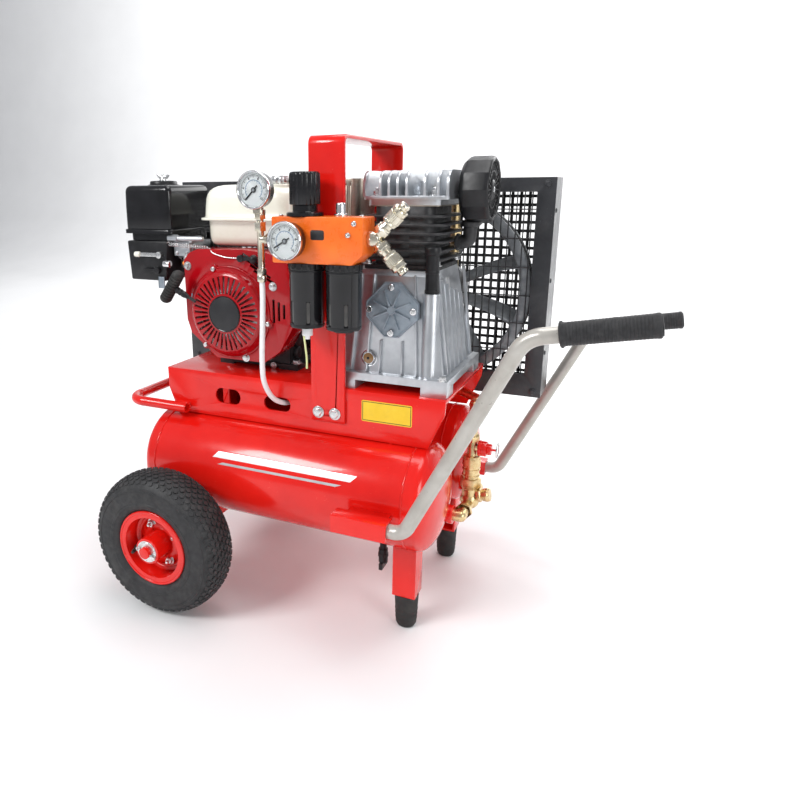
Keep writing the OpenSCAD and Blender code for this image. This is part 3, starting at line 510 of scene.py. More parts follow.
def spline(pts, per=8):
    """Smooth curve through the points."""
    P = [Vector(p) for p in pts]
    P = [P[0] * 2 - P[1]] + P + [P[-1] * 2 - P[-2]]
    out = []
    for i in range(1, len(P) - 2):
        for k in range(per):
            t = k / per
            a, b, c, d = P[i - 1], P[i], P[i + 1], P[i + 2]
            out.append(0.5 * ((2 * b) + (c - a) * t + (2 * a - 5 * b + 4 * c - d) * t * t + (3 * b - 3 * c + d - a) * t ** 3))
    out.append(P[-2])
    return out


# ------------------------------------------------------------------ camera, light, floor
cam = bpy.data.cameras.new("camera")
cam_o = bpy.data.objects.new("camera", cam)
bpy.context.scene.collection.objects.link(cam_o)
CX, CY, CF = 320.0, 373.9, 674.93
CPOS = Vector(((710.97 + OX) / 1000, -1.09224, 0.72312))
yaw, pitch, roll = (math.radians(a) for a in (25.7606, 15.5157, -0.573))
fwd = Vector((-math.sin(yaw) * math.cos(pitch), math.cos(yaw) * math.cos(pitch), -math.sin(pitch)))
right = Vector((math.cos(yaw), math.sin(yaw), 0))
up = right.cross(fwd)
r_ = right * math.cos(roll) + up * math.sin(roll)
u_ = -right * math.sin(roll) + up * math.cos(roll)
R = Matrix((r_, u_, -fwd)).transposed()
cam_o.matrix_world = Matrix.Translation(CPOS) @ R.to_4x4()
cam.sensor_width = 36.0
cam.lens = CF / 800 * 36.0
cam.shift_x = (400 - CX) / 800
cam.shift_y = (CY - 400) / 800
cam.clip_start, cam.clip_end = 0.05, 60
bpy.context.scene.camera = cam_o

bpy.context.scene.view_settings.view_transform = "Standard"
world = bpy.data.worlds.new("studio")
bpy.context.scene.world = world
world.use_nodes = True
world.node_tree.nodes["Background"].inputs["Color"].default_value = (0.93, 0.95, 1.0, 1)
world.node_tree.nodes["Background"].inputs["Strength"].default_value = 0.42


def area(name, loc, target, size, power, color=(1, 1, 1)):
    l = bpy.data.lights.new(name, "AREA")
    l.shape = "RECTANGLE"
    l.size, l.size_y = size
    l.energy = power
    l.color = color
    o = bpy.data.objects.new(name, l)
    o.location = loc
    o.rotation_euler = (Vector(target) - Vector(loc)).to_track_quat("-Z", "Y").to_euler()
    bpy.context.scene.collection.objects.link(o)


area("key", (-1.4, -2.2, 2.3), (0, 0, 0.35), (1.1, 0.8), 58)
area("fill", (2.6, -1.4, 1.3), (0, 0, 0.4), (1.2, 1.2), 26)
area("top", (0.2, 0.2, 2.8), (0, 0, 0.4), (2.2, 1.2), 36)
area("back", (0.8, 2.6, 1.8), (0, 0, 0.5), (2.4, 1.2), 26)
area("backdrop_left", (-2.6, 1.6, 2.8), (-1.6, 4.7, 1.5), (3.0, 1.6), 95)
area("backdrop_right", (2.6, 1.6, 2.8), (1.6, 4.7, 1.5), (3.0, 1.6), 95)

floor_mat = mat("pale_floor", (0.86, 0.86, 0.86), (0.89, 0.89, 0.89), rough=(0.55, 0.7), cs=3, rs=20, bump=0.05, bs=200, bd=0.0003)
fm = bpy.data.meshes.new("floor")
fv, ff = [], []
prof = [(-6.0, -0.001), (2.6, -0.001), (3.2, 0.02), (3.8, 0.14), (4.3, 0.42), (4.6, 0.9), (4.7, 1.6), (4.7, 6.0)]
for i in range(13):
    for (y, z) in prof:
        fv.append((-7 + 14 * i / 12, y, z))
for i in range(12):
    for j in range(len(prof) - 1):
        n = len(prof)
        ff.append((i * n + j, (i + 1) * n + j, (i + 1) * n + j + 1, i * n + j + 1))
fm.from_pydata(fv, [], ff)
fm.materials.append(floor_mat)
fm.polygons.foreach_set("use_smooth", [True] * len(fm.polygons))
fo = bpy.data.objects.new("floor", fm)
bpy.context.scene.collection.objects.link(fo)

# ------------------------------------------------------------------ CAD nodes that keep their shape
for n, m, bv in (
    ("base_frame", RED, 1.2), ("lifting_bracket", RED, 1.4), ("front_tank", RED, 0), ("rear_tank", RED, 0),
    ("support_legs", RED, 1.0), ("handle_sockets", RED, 1.5), ("axle", RED, 1.5), ("rim_near", RED, 0.5), ("rim_far", RED, 0.5),
    ("rubber_feet", RUBBER, 1.2), ("handle_tubes", TUBE, 0.4), ("machine_screws", ZINC, 0.5),
    ("engine_block", CASTBLK, 1.2), ("fan_cover", CRIMSON, 3.0), ("recoil_cover", CRIMSON, 0.5), ("cooling_fan", ALUM, 0.4),
    ("engine_pulley", IRON, 0.6), ("control_cover", BLACKP, 3.0), ("carburettor", ALU, 1.0), ("muffler", WARM, 1.5),
    ("choke_lever", ZINC, 0.8), ("fuel_lever", BLACKP, 1.2), ("throttle_lever", BLACKP, 0.8),
    ("regulator_body", ORANGE, 2.2), ("filter_bowls", BLACKG, 0.9), ("bowl_drain", WHITE, 1.2),
    ("needle_stalk", BLACK_INK_AND_SHADE, 0), ("needle_regulator", BLACK_INK_AND_SHADE, 0), ("gauge_stalk", NICKEL, 0.7), ("y_manifold", NICKEL, 0.8),
    ("pump_crankcase", ALU, 2.2), ("bearing_cover", GREYC, 1.0), ("cylinder_block", CASTBLK, 0.8), ("cylinder_head", ALU, 0.8),
    ("pump_crankshaft", ZINC, 0.8), ("piston_front", ALUM, 0.6), ("piston_rear", ALUM, 0.6), ("delivery_pipe", BRASS, 0.8),
    ("safety_valve", RED, 0.8), ("safety_ring", ZINC, 0.4), ("drain_cock_front", BLACKP, 0.8), ("drain_cock_rear", BLACKP, 0.8),
    ("v_belt", RUBBER, 0.8), ("guard_frame", GUARD, 1.0),
):
    dress(n, m, bv)

# ------------------------------------------------------------------ wheels
def wheel(s, name):
    y0 = s * 255
    # carcass: one side's section from bead to crown, (radius, half width)
    sec = [(60, 30.2), (64, 31.6), (69.5, 31.8), (71.5, 35), (75, 37.6), (79.5, 38.8), (80.3, 39.4), (84, 39.6), (84.8, 39.0), (92, 39.4), (100, 39.2),
           (106, 38.2), (106.6, 38.9), (110, 38.2), (110.8, 36.8), (114, 35.0), (118, 31.8), (121.5, 27.4), (124.4, 21.5), (126.4, 14), (127.2, 6), (127.3, 0)]
    full = [(r, w) for r, w in sec] + [(r, -w) for r, w in reversed(sec[:-1])]
    t = Mesh().lathe(full + [(60, -30.2), (60, 30.2)], (0, y0, 130), (0, 1, 0), 112)
    # arc length along the section for placing tread blocks
    path = [(127.3, 0), (127.2, 6), (126.4, 14), (124.4, 21.5), (121.5, 27.4), (118, 31.8), (114, 35.0)]
    d = [0]
    for a, b in zip(path, path[1:]):
        d.append(d[-1] + math.hypot(b[0] - a[0], b[1] - a[1]))

    def at(q, h):
        sg, q = (1 if q >= 0 else -1), abs(q)
        q = min(q, d[-1] - 0.01)
        i = max(k for k in range(len(d) - 1) if d[k] <= q)
        f = (q - d[i]) / (d[i + 1] - d[i])
        r = path[i][0] + (path[i + 1][0] - path[i][0]) * f
        w = path[i][1] + (path[i + 1][1] - path[i][1]) * f
        tr, tw = path[i + 1][0] - path[i][0], path[i + 1][1] - path[i][1]
        l = math.hypot(tr, tw)
        return r + tw / l * h, sg * (w - tr / l * h)

    def pt(q, th, h):
        r, w = at(q, h)
        return (r * math.cos(th), y0 + w, 130 + r * math.sin(th))

    count = 58
    step = 2 * math.pi / count
    rows = [(q, 4.5 if abs(q) < 30 else 4.2, 0.41, 0.5 * (i % 2), 2.5 - 0.02 * abs(q), 0.40 if abs(q) < 30 else 0.6)
            for i, q in enumerate((-32.5, -24.4, -16.2, -8.1, 0, 8.1, 16.2, 24.4, 32.5))]
    for q0, hw, ha, ph, h, flat in rows:
        for i in range(count):
            th = (i + ph) * step
            ha_ = ha * step
            # six-sided block, long way across
            base = [(-hw * 0.86, -ha_ * flat), (0, -ha_), (hw * 0.86, -ha_ * flat), (hw * 0.86, ha_ * flat), (0, ha_), (-hw * 0.86, ha_ * flat)]
            lo = [pt(q0 + a, th + b, -0.6) for a, b in base]
            hi = [pt(q0 + a * 0.86, th + b * 0.86, h) for a, b in base]
            t.loft([lo, hi])
    t.obj("tyre_treaded_" + name, "wheel_" + name, TYRE, "tyre", angle=28, replaces=("tyre_" + name,))
    # rim furniture: rolled lips, bolts, bearings, valve
    for side in (-1, 1):
        yo = y0 + side * 32.6
        m = Mesh()
        lip = [(66 + 2.6 * math.cos(a), 2.6 * math.sin(a)) for a in [math.pi * 2 * k / 14 for k in range(14)]]
        m.lathe(lip, (0, yo + side * 0.2, 130), (0, side, 0), 84, close=True)
        # pressed step between dish and barrel
        m.lathe([(54.6, -22), (54.6, -26), (50, -28.5), (45, -28.6), (43.4, -26.4), (43, -24)], (0, y0 + side * 32, 130), (0, side, 0), 72)
        m.obj("rim_lip_%s_%d" % (name, side + 1), "wheel_" + name, RED, "red_paint", angle=40)
        g = Mesh()
        g.mat(0).lathe([(10.6, 0), (10.6, 1.0), (12.4, 1.2), (13.2, 0.2), (16.4, 0.2), (17.4, 1.4), (19.3, 1.2), (19.5, 0)], (0, y0 + side * 45, 130), (0, side, 0), 48)
        g.obj("bearing_face_%s_%d" % (name, side + 1), "wheel_" + name, CHROME, "zinc", angle=30)
        b = Mesh()
        for k in range(4):
            a = math.radians(28 + 90 * k)
            r = 36
            b.hexbolt((r * math.cos(a), y0 + side * 7.3, 130 + r * math.sin(a)), (0, side, 0), 6.4, 6.5, turn=a)
            b.lathe([(3, 6.4), (3, 11), (2.2, 11.8), (0, 11.8)], (r * math.cos(a), y0 + side * 7.3, 130 + r * math.sin(a)), (0, side, 0), 16)
        b.obj("rim_bolts_%s_%d" % (name, side + 1), "wheel_" + name, ZINC, "zinc", bevel=0.3, angle=30)
    v = Mesh()
    a = math.radians(200)
    vo = Vector((50 * math.cos(a), y0 + s * 14, 130 + 50 * math.sin(a)))
    v.lathe([(0, 0), (5, 0), (5.4, 3), (4.4, 9), (3.4, 12), (3.4, 22), (2.6, 22.5), (2.6, 28), (0, 28)], vo, (-0.35 * math.cos(a), s * 0.9, -0.35 * math.sin(a)), 20)
    v.obj("tyre_valve_" + name, "wheel_" + name, RUBBER, "rubber", angle=35)
    # axle end: washer face, castle ring and split pin
    e = Mesh()
    e.lathe([(10.2, 0.2), (17.4, 0.2), (17.9, 0.6), (17.9, 1.7), (17.2, 2.2), (10.2, 2.2)], (0, s * 300.4, 130), (0, s, 0), 44)
    pin = spline([(-13.5, s * 304.6, 133.2), (-8, s * 305.0, 131.8), (0, s * 305.1, 130), (9, s * 305.0, 127.4), (15, s * 304.4, 123.6), (17, s * 303.6, 119)], 5)
    e.tube(pin, 1.45, 10)
    eye = [(-15.6 + 3.0 * math.cos(q), s * 304.6, 133.8 + 3.0 * math.sin(q)) for q in [2 * math.pi * k / 18 for k in range(18)]]
    e.tube(eye, 1.2, 8, closed=True)
    e.obj("split_pin_" + name, "frame", ZINC, "zinc", angle=35)
    c = Mesh()
    c.lathe([(9.9, 0), (9.9, 3.5), (8.4, 4.6), (3.2, 4.8), (2.6, 4.2), (0, 4.0)], (0, s * 304.15, 130), (0, s, 0), 36)
    c.obj("axle_end_" + name, "frame", RED, "red_paint", angle=35)


wheel(-1, "near")
wheel(1, "far")

# ------------------------------------------------------------------ tanks: weld beads, bosses, decoration stripes
for s, nm in ((-1, "front"), (1, "rear")):
    w = Mesh()
    for x in (-57.5, 411.5):
        ring, n = [], 90
        for k in range(n):
            a = 2 * math.pi * k / n
            rr = 91.0 + 0.35 * math.sin(k * 2.399)
            ring.append((x + 0.35 * math.sin(k * 1.7), s * 105 + rr * math.cos(a), 233 + rr * math.sin(a)))
        w.tube(ring, 1.5, 8, closed=True)
    w.obj("tank_weld_beads_" + nm, "frame", RED, "red_paint", angle=60)
    p = Mesh()
    for x, yy, zz in ((353, s * 105, 141.5),):
        p.lathe([(12.5, 0.5), (12.5, -5.5), (11.6, -6.4), (6.4, -6.4)], (x, yy, zz + 1.2), (0, 0, 1), 30)
    # end boss towards the pipework
    p.lathe([(16, -6), (16, 2.0), (15, 3), (9.6, 3)], (459.0, s * 62 * 1.0, 186), (1, 0, 0), 30)
    p.obj("tank_bosses_" + nm, "frame", RED, "red_paint", angle=35, bevel=0.4)


def tank_patch(x0, x1, a0, a1, n=24, lift=0.25, taper=0.0):
    """Thin film that follows the front tank's shell between two angles (degrees from level, front side)."""
    o = Mesh()
    vs, fs = [], []
    for i in range(n + 1):
        f = i / n
        x = x0 + (x1 - x0) * f
        for k in range(7):
            g = k / 6
            a = math.radians(a0 + (a1 - a0) * g)
            xx = x + taper * (g - 0.5)
            vs.append((xx, -105 - (91 + lift) * math.cos(a), 233 + (91 + lift) * math.sin(a)))
    for i in range(n):
        for k in range(6):
            fs.append((i * 7 + k, i * 7 + k + 1, (i + 1) * 7 + k + 1, (i + 1) * 7 + k))
    return o.add(vs, fs)


for i, (x0, x1, a0, a1) in enumerate(((70, 330, 25, 32), (82, 306, 18, 20.6))):
    tank_patch(x0, x1, a0, a1, taper=10).obj("tank_stripe_%d" % i, "frame", SILVERF, "zinc", angle=60)

# ------------------------------------------------------------------ platform furniture
lab = Mesh()
lab.mat(0).prism([(x, -128.0, z) for x, z in rrect(320, 355.5, 405, 391, 2.5, 4)], None, (0, -0.35, 0))
lab.mat(1)
for a, b in (((321.5, 388.4), (403.5, 389.4)), ((321.5, 357.2), (403.5, 358.2)), ((321.5, 357.2), (322.5, 389.4)), ((402.5, 357.2), (403.5, 389.4))):
    lab.box((a[0], -128.45, a[1]), (b[0], -128.3, b[1]))
lab.obj("blank_label_plate", "frame", [YELLOW, BLACK_INK_AND_SHADE], "red_paint", angle=30)

# bolts that hold the lifting bracket, with washers; washers for the engine and pump hold-down bolts
b = Mesh()
for x in (245, 275):
    b.hexbolt((x, -134.0, 362), (0, -1, 0), 7.6, 6.8, turn=0.2 + x)
b.obj("bracket_bolts", "frame", ZINC, "zinc", bevel=0.35)
b = Mesh()
for x, y in ((276, -111), (446, -111)):
    b.lathe([(4, 0), (7.0, 0), (7.2, 0.4), (7.2, 1.6), (6.8, 2.0), (4, 2.0)], (x, y, 432.5), (0, 0, 1), 28)
for x in (14, 159):
    for y in (-45, 75):
        b.lathe([(4, 0), (10, 0), (10.4, 0.5), (10.4, 1.6), (10, 2.0), (4, 2.0)], (x, y, 415), (0, 0, 1), 28)
b.obj("hold_down_washers", "frame", ZINC, "zinc")

# ------------------------------------------------------------------ engine: cover furniture
e = Mesh()
e.mat(0).lathe([(31.0, 0), (31.0, 0.9), (30.2, 1.3), (0, 1.3)], (62, -125.0, 512), (0, -1, 0), 56)
e.mat(1).lathe([(31.0, 0.6), (31.6, 0.9), (31.4, 1.7), (30.4, 1.9), (29.6, 1.4), (29.4, 1.0)], (62, -125.0, 512), (0, -1, 0), 64)
e.obj("starter_disc", "frame", [DARKLBL, BLACKG], "black_plastic", angle=30)
e = Mesh()
for x, z, r in ((150, 562, 5), (92, 433.6, 5), (-22, 590, 5)):
    e.lathe([(3, 0), (r + 2.4, 0), (r + 2.6, 0.4), (r + 2.4, 0.9), (3, 0.9)], (x, -108.1, z), (0, -1, 0), 26)
e.obj("cover_screw_washers", "frame", ZINC, "zinc")
# rolled rim round the recoil cover and raised bosses under its bolts
e = Mesh()
e.lathe([(78.2, 0), (81.0, 0.2), (81.4, 1.4), (80.4, 2.5), (78.4, 2.7)], (62, -107.9, 512), (0, -1, 0), 84)
for k in range(3):
    a = math.radians(90 + 120 * k + 20)
    c = (62 + 80 * math.cos(a), 512 + 80 * math.sin(a))
    e.lathe([(7.6, 0), (7.6, 3.4), (6.8, 4.2), (0, 4.2)], (c[0], -107.5, c[1]), (0, -1, 0), 28)
e.obj("recoil_cover_rim", "frame", CRIMSON, "engine_red", angle=35, bevel=0.4)
e = Mesh()
for k in range(3):
    a = math.radians(90 + 120 * k + 20)
    e.hexbolt((62 + 80 * math.cos(a), -111.8, 512 + 80 * math.sin(a)), (0, -1, 0), 4.6, 3.6, washer=False, turn=a)
e.obj("recoil_cover_bolts", "frame", ZINC, "zinc", bevel=0.25)
st = Mesh()
st.prism([(x, -108.05, z) for x, z in rrect(-18, 522, -9.5, 541, 1.2, 3)], None, (0, -0.3, 0))
st.obj("blank_sticker", "frame", BLUE, "engine_red", angle=30)

# engine block: cooling fins, filler caps, drain plug
e = Mesh()
for k in range(6):
    xf = -14 if k > 3 else 21.8
    e.box((xf, -50, 436 + k * 17), (xf + 4.6, 88, 440 + k * 17))
for k in range(2, 9):
    e.box((-6 + k * 18, 94.5, 424), (-2.5 + k * 18, 98.5, 466))
e.lathe([(50, 0), (50, 3), (47, 5), (45, 9)], (62, 94, 512), (0, 1, 0), 48)
for z in (432, 455):
    e.lathe([(9, 0), (11, 0), (11, 6), (9, 8), (0, 8)], (150, -30, z), (1, 0, 0), 26)
e.obj("engine_block_fins", "frame", CASTBLK, "black_cast", bevel=0.8)
e = Mesh()
e.lathe([(0, 0), (10.5, 0), (11, 1), (11, 5), (9, 6), (8.6, 14), (7.4, 15.5), (0, 15.5)], (150.2, 20, 440), (1, 0, 0.25), 30, lobes=(10, 1.2))
e.obj("oil_filler_cap", "frame", BLACKP, "black_plastic", bevel=0.3)
e = Mesh()
e.hexbolt((60, -54.2, 426), (0, -1, 0), 7.5, 8)
e.hexbolt((120, -60.2, 411), (0, -1, 0), 4.5, 4)
e.obj("oil_drain_bolt", "frame", ZINC, "zinc", bevel=0.3)

# ------------------------------------------------------------------ fuel tank: pressed halves with a crowned top
def ringz(x0, y0, x1, y1, r, z, n=10):
    return [(x, y, z) for x, y in rrect(x0, y0, x1, y1, max(r, 1), n)]


def inset(z, k, r=24, box=(-8, -85, 174, 65)):
    return ringz(box[0] + k, box[1] + k, box[2] - k, box[3] - k, r, z)


t = Mesh()
low = (-2, -78, 168, 58)
rings = [inset(623.3, 16, 14, low), inset(624.3, 9, 17, low), inset(627, 4.5, 19, low), inset(632, 1.6, 21, low), inset(641, 0.4, 22, low), inset(666, 0, 22, low),
         inset(667.6, -1.5, 23, low)]
lipb = (-13, -90, 179, 70)
rings += [inset(668.0, 2.2, 25, lipb), inset(668.1, 0.5, 26, lipb), inset(668.8, 0.0, 26, lipb), inset(671.0, 0.0, 26, lipb), inset(671.9, 0.6, 26, lipb), inset(672.2, 2.5, 25, lipb)]
rings += [inset(672.4, -1.2, 27), inset(674.5, 0.2, 27), inset(690, 0.8, 28), inset(704, 1.8, 29), inset(712, 3.4, 30), inset(718, 6.4, 31), inset(722.4, 11, 31),
          inset(725.2, 17, 29), inset(726.9, 25, 26), inset(727.7, 38, 20), inset(728.0, 56, 12)]
t.loft(rings)
t.obj("fuel_tank_shell", "frame", CREAM, "cream_paint", angle=50, replaces=("fuel_tank",))
t = Mesh()
t.lathe([(24, -6), (24, -1.2), (23, -0.4), (20.5, -0.2), (19, 0.2)], (137, -48, 728.0), (0, 0, 1), 44)
t.obj("filler_neck", "frame", CREAM, "cream_paint", angle=35)
t = Mesh()
t.lathe([(15, 0.3, 0), (19.6, 0.3, 1), (20.6, 1.6, 1), (20.8, 8.6, 1), (19.6, 10.6, 0.4), (17.4, 11.2, 0), (15.6, 11.3, 0), (15.2, 12.6, 0), (12, 13.6, 0), (0, 13.7, 0)],
        (137, -48, 728.0), (0, 0, 1), 96, lobes=(12, 1.6, 0.7))
t.obj("fuel_cap_knurled", "tank_cap", ZINC, "zinc", angle=40, replaces=("fuel_cap",))

# ------------------------------------------------------------------ air cleaner
def aring(z, k, r):
    return ringz(-168 + k, -95 + k, -64 - k, 34 - k, r, z, 8)


a = Mesh()
a.loft([aring(630.2, 8, 6), aring(631, 6.4, 7), aring(642.2, 6, 8), aring(642.8, -1, 10), aring(643.4, -3, 11), aring(649.6, -3, 11), aring(650.6, -2, 10), aring(651, 0.5, 9),
        aring(652, 0.2, 9), aring(690, 0.4, 9), aring(717, 1.0, 9.5), aring(721.6, 1.8, 9.5), aring(725, 3.6, 9), aring(727.2, 6.6, 8), aring(728, 11, 6)])
a.obj("air_cleaner_case", "frame", BLACKG, "black_plastic", angle=48, replaces=("air_cleaner",))
a = Mesh()
a.lathe([(30, -2), (30, 0.6), (28.4, 1.6), (25.4, 2.2), (25, 6.4), (23.6, 8.2), (12, 9.0), (0, 9.0)], (-124, -30, 727.6), (0, 0, 1), 56)
a.obj("air_cleaner_lid_boss", "frame", BLACKP, "black_plastic", angle=35)
a = Mesh()
a.lathe([(7.4, 0), (7.4, 1.5), (6.2, 2.2), (5.6, 7), (4.6, 8.6), (2.6, 9.4), (2.6, 11.4), (0, 11.8)], (-124, -30, 736.6), (0, 0, 1), 28)
for s in (-1, 1):
    wing = [(-124 + s * x, -30, z) for x, z in ((4, 738.4), (9, 740), (13, 744), (14.6, 748), (12.8, 748.9), (10, 747.4), (4, 745))]
    a.prism([(p[0], p[1] - 1.1, p[2]) for p in wing], None, (0, 2.2, 0))
a.obj("wing_nut", "frame", ZINC, "zinc", bevel=0.5)

# ------------------------------------------------------------------ carburettor details: bowl, screws, springs, rods
c = Mesh()
c.lathe([(0, -26), (10, -26), (14, -24), (15.4, -20), (15.6, -3), (16.6, -2.4), (16.6, 0), (0, 0)], (-51, -62, 606), (0, 0, 1), 36)
c.obj("carburettor_bowl", "frame", ZINC, "zinc", bevel=0.4)
c = Mesh()
c.hexbolt((-51, -62, 580), (0, 0, -1), 5.5, 5)
for x, z in ((-62, 624), (-40, 624), (-62, 609), (-40, 609)):
    c.socket_screw((x, -84, z), (0, -1, 0), 3.4, 3)
c.obj("carburettor_screws", "frame", ZINC, "zinc", bevel=0.2)


def coil(p0, p1, R, r, turns, n=10):
    p0, p1 = Vector(p0), Vector(p1)
    u, v, _ = basis(p1 - p0)
    pts = []
    N = int(turns * n)
    for i in range(N + 1):
        f = i / N
        t = 2 * math.pi * turns * f
        pts.append(p0 + (p1 - p0) * f + (u * math.cos(t) + v * math.sin(t)) * R)
    return pts


c = Mesh()
c.tube(coil((-64, -101, 626), (20, -104, 622), 3.0, 0.55, 17), 0.6, 6)
c.tube(spline([(-70, -101, 628), (-66, -101, 630), (-64, -101, 626)], 5), 0.7, 6)
c.tube(spline([(20, -104, 622), (26, -106, 620), (34, -109.6, 614), (60, -110.4, 608), (88, -111, 607)], 6), 1.1, 8)
c.obj("governor_spring_and_rod", "frame", ZINC, "zinc", angle=60)
# choke lever tip, chromed knob and control bracket
k = Mesh()
k.lathe([(0, 0), (4.6, 0), (5.2, 1), (5.2, 9), (4.4, 11), (0, 11.4)], (-147.5, -97.2, 605.5), (1, 0, 0), 24)
k.obj("choke_knob", "choke", CREAM, "zinc", angle=35)
k = Mesh()
k.lathe([(0, 0), (5.6, 0), (6.4, 0.8), (6.4, 13), (5.4, 14), (3, 14.2), (0, 14.2)], (-82.5, -97.4, 590), (1, 0, 0), 30)
k.obj("control_cable_end", "frame", CHROME, "zinc", bevel=0.3)
k = Mesh()
k.lathe([(0, 0), (3.6, 0), (4.4, 2), (4.4, 8), (3, 10), (0, 10.4)], (-44, -90, 592), (1, -0.1, 0), 24)
k.obj("throttle_tip", "frame", ORTIP, "orange", angle=35)
k = Mesh()
k.box((-98, -98.6, 545), (-84, -96.6, 566))
k.box((-98, -98.6, 545), (-96, -84, 566))
k.box((-94, -99.4, 552), (-88, -98.4, 558))
k.obj("control_bracket", "frame", GREYC, "zinc", bevel=0.6)

# ------------------------------------------------------------------ recoil grip
d = Vector((41, 0, 58)).normalized()
c0 = Vector((-36.5, -138, 556))
prof = [(0, -32.9), (5.5, -32.5), (9.2, -30.9), (11.3, -28)]
z = -25.6
while z < 22:
    prof += [(11.9, z), (11.9, z + 2.8), (10.5, z + 3.5), (10.5, z + 4.7)]
    z += 5.4
prof += [(11.9, 24), (11.3, 28), (9.2, 30.9), (5.5, 32.5), (0, 32.9)]
g = Mesh().lathe(prof, c0, d, 40, lobes=(2, 1.6))
g.obj("recoil_grip_ribbed", "starter_grip", RUBBER, "black_plastic", angle=28, replaces=("recoil_grip",))
g = Mesh()
g.lathe([(5.2, 0), (6.0, 1), (6.0, 4), (5.1, 4.8), (5.1, 6.4), (6.0, 7.2), (6.0, 10.2), (5.1, 11), (5.1, 12.6), (6.0, 13.4), (6.0, 16.4), (5.1, 17.2), (5.1, 18.8), (5.8, 19.6), (5.6, 24), (4.4, 27),
         (4.2, 31), (0, 31)], (-32.5, -137.8, 554.1), (28, 3.6, -16), 32)
g.obj("rope_guide", "starter_grip", BLACKP, "black_plastic", angle=30)
g = Mesh()
g.tube(coil((-9, -134.8, 541), (8, -132.9, 531.8), 0.9, 1.3, 4, 8), 2.2, 6)
g.tube([(-9, -134.8, 541), (8, -132.9, 531.8)], 2.6, 10)
g.obj("starter_rope", "starter_grip", RUBBER, "black_plastic", angle=60)

# ------------------------------------------------------------------ gauges
def gauge(name, x, y, z, pointer_z0):
    """Round gauge looking along -Y; y is the front plane of the case."""
    o = (x, y, z)
    ax = (0, -1, 0)
    c = Mesh()
    c.mat(0).lathe([(0, -24), (20, -24), (25, -22.6), (26.6, -20), (26.9, -9), (27.6, -7.6), (28.2, -6.4)], o, ax, 64)
    c.mat(1).lathe([(28.2, -6.6), (28.5, -6.0), (28.5, -2.2), (28.0, -0.8), (27.0, -0.1), (25.9, -0.3), (25.0, -1.4), (24.7, -3.4), (24.6, -5.2)], o, ax, 80)
    c.mat(2).lathe([(24.7, -5.0), (0, -5.0)], o, ax, 64)
    c.obj("gauge_case_" + name, "frame", [BLACKG, CHROME, DIAL], "black_plastic", angle=38)
    t = Mesh()
    yb = y + 4.95
    for i in range(51):
        a = math.radians(225 - 270 * i / 50)
        big, mid = i % 10 == 0, i % 5 == 0
        r1, r0, w = 21.5, 21.5 - (4.6 if big else 3.4 if mid else 2.0), (0.42 if big else 0.3 if mid else 0.17)
        ca, sa = math.cos(a), math.sin(a)
        pts = [(x + r * ca - q * sa, yb, z + r * sa + q * ca) for r, q in ((r0, -w), (r1, -w), (r1, w), (r0, w))]
        t.mat(0).prism(pts, None, (0, -0.12, 0))
    for r, w in ((22.0, 0.22),):
        n = 72
        vs, fs = [], []
        for i in range(n + 1):
            a = math.radians(225 - 270 * i / n)
            for q in (-w, w):
                vs.append((x + (r + q) * math.cos(a), yb - 0.1, z + (r + q) * math.sin(a)))
        for i in range(n):
            fs.append((2 * i, 2 * i + 1, 2 * i + 3, 2 * i + 2))
        t.add(vs, fs)
    n, vs, fs = 60, [], []
    for i in range(n + 1):
        a = math.radians(225 - 270 * i / n)
        for q in (14.1, 14.9):
            vs.append((x + q * math.cos(a), yb - 0.1, z + q * math.sin(a)))
    for i in range(n):
        fs.append((2 * i, 2 * i + 1, 2 * i + 3, 2 * i + 2))
    t.mat(1).add(vs, fs)
    for i in range(16):
        a = math.radians(225 - 270 * i / 15)
        ca, sa = math.cos(a), math.sin(a)
        pts = [(x + r * ca - q * sa, yb, z + r * sa + q * ca) for r, q in ((12.4, -0.2), (14.3, -0.2), (14.3, 0.2), (12.4, 0.2))]
        t.mat(1).prism(pts, None, (0, -0.12, 0))
    t.obj("dial_marks_" + name, "frame", [BLACK_INK_AND_SHADE, INKB], "black_plastic", angle=30)
    for i in range(6):
        a = math.radians(225 - 270 * i / 5)
        cu = bpy.data.curves.new("num", "FONT")
        cu.body = str(i * 2)
        cu.size = 0.0052
        cu.align_x, cu.align_y = "CENTER", "CENTER"
        tmp = bpy.data.objects.new("num", cu)
        me = bpy.data.meshes.new_from_object(tmp)
        bpy.data.objects.remove(tmp)
        me.materials.clear()
        me.materials.append(BLACK_INK_AND_SHADE)
        no = bpy.data.objects.new("dial_number_%s_%d" % (name, i), me)
        bpy.context.scene.collection.objects.link(no)
        p = W(x + 17.6 * math.cos(a), yb - 0.15, z + 17.6 * math.sin(a))
        me.transform(Matrix.Translation(p) @ Matrix.Rotation(math.radians(90), 4, "X"))
        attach(no, "frame")
    gl = Mesh()
    gl.lathe([(0, -1.0), (12, -1.05), (22, -1.35), (25.1, -1.7), (25.1, -2.5), (22, -2.15), (12, -1.85), (0, -1.8)], o, ax, 64)
    gl.obj("gauge_glass_" + name, "frame", GLASS, "white_plastic", angle=60)
    h = Mesh()
    h.lathe([(0, -3.0), (2.4, -3.0), (2.6, -3.3), (2.6, -4.6), (0, -4.6)], o, ax, 24)
    h.obj("pointer_hub_" + name, "pointer_" + name, CHROME, "zinc", angle=35)


gauge("stalk", 169, -196, 719, 0)
gauge("regulator", 233, -220.3, 647, 0)
m = Mesh()
m.lathe([(6.6, 0), (6.6, 3.6), (9.6, 4.2), (9.6, 9.4), (7, 10), (7, 12)], (169, -177, 680.5), (0, 0, 1), 30)
m.obj("gauge_neck_stalk", "frame", NICKEL, "nickel", angle=35)
NODE["gauge_cases"]
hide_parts("gauge_cases")

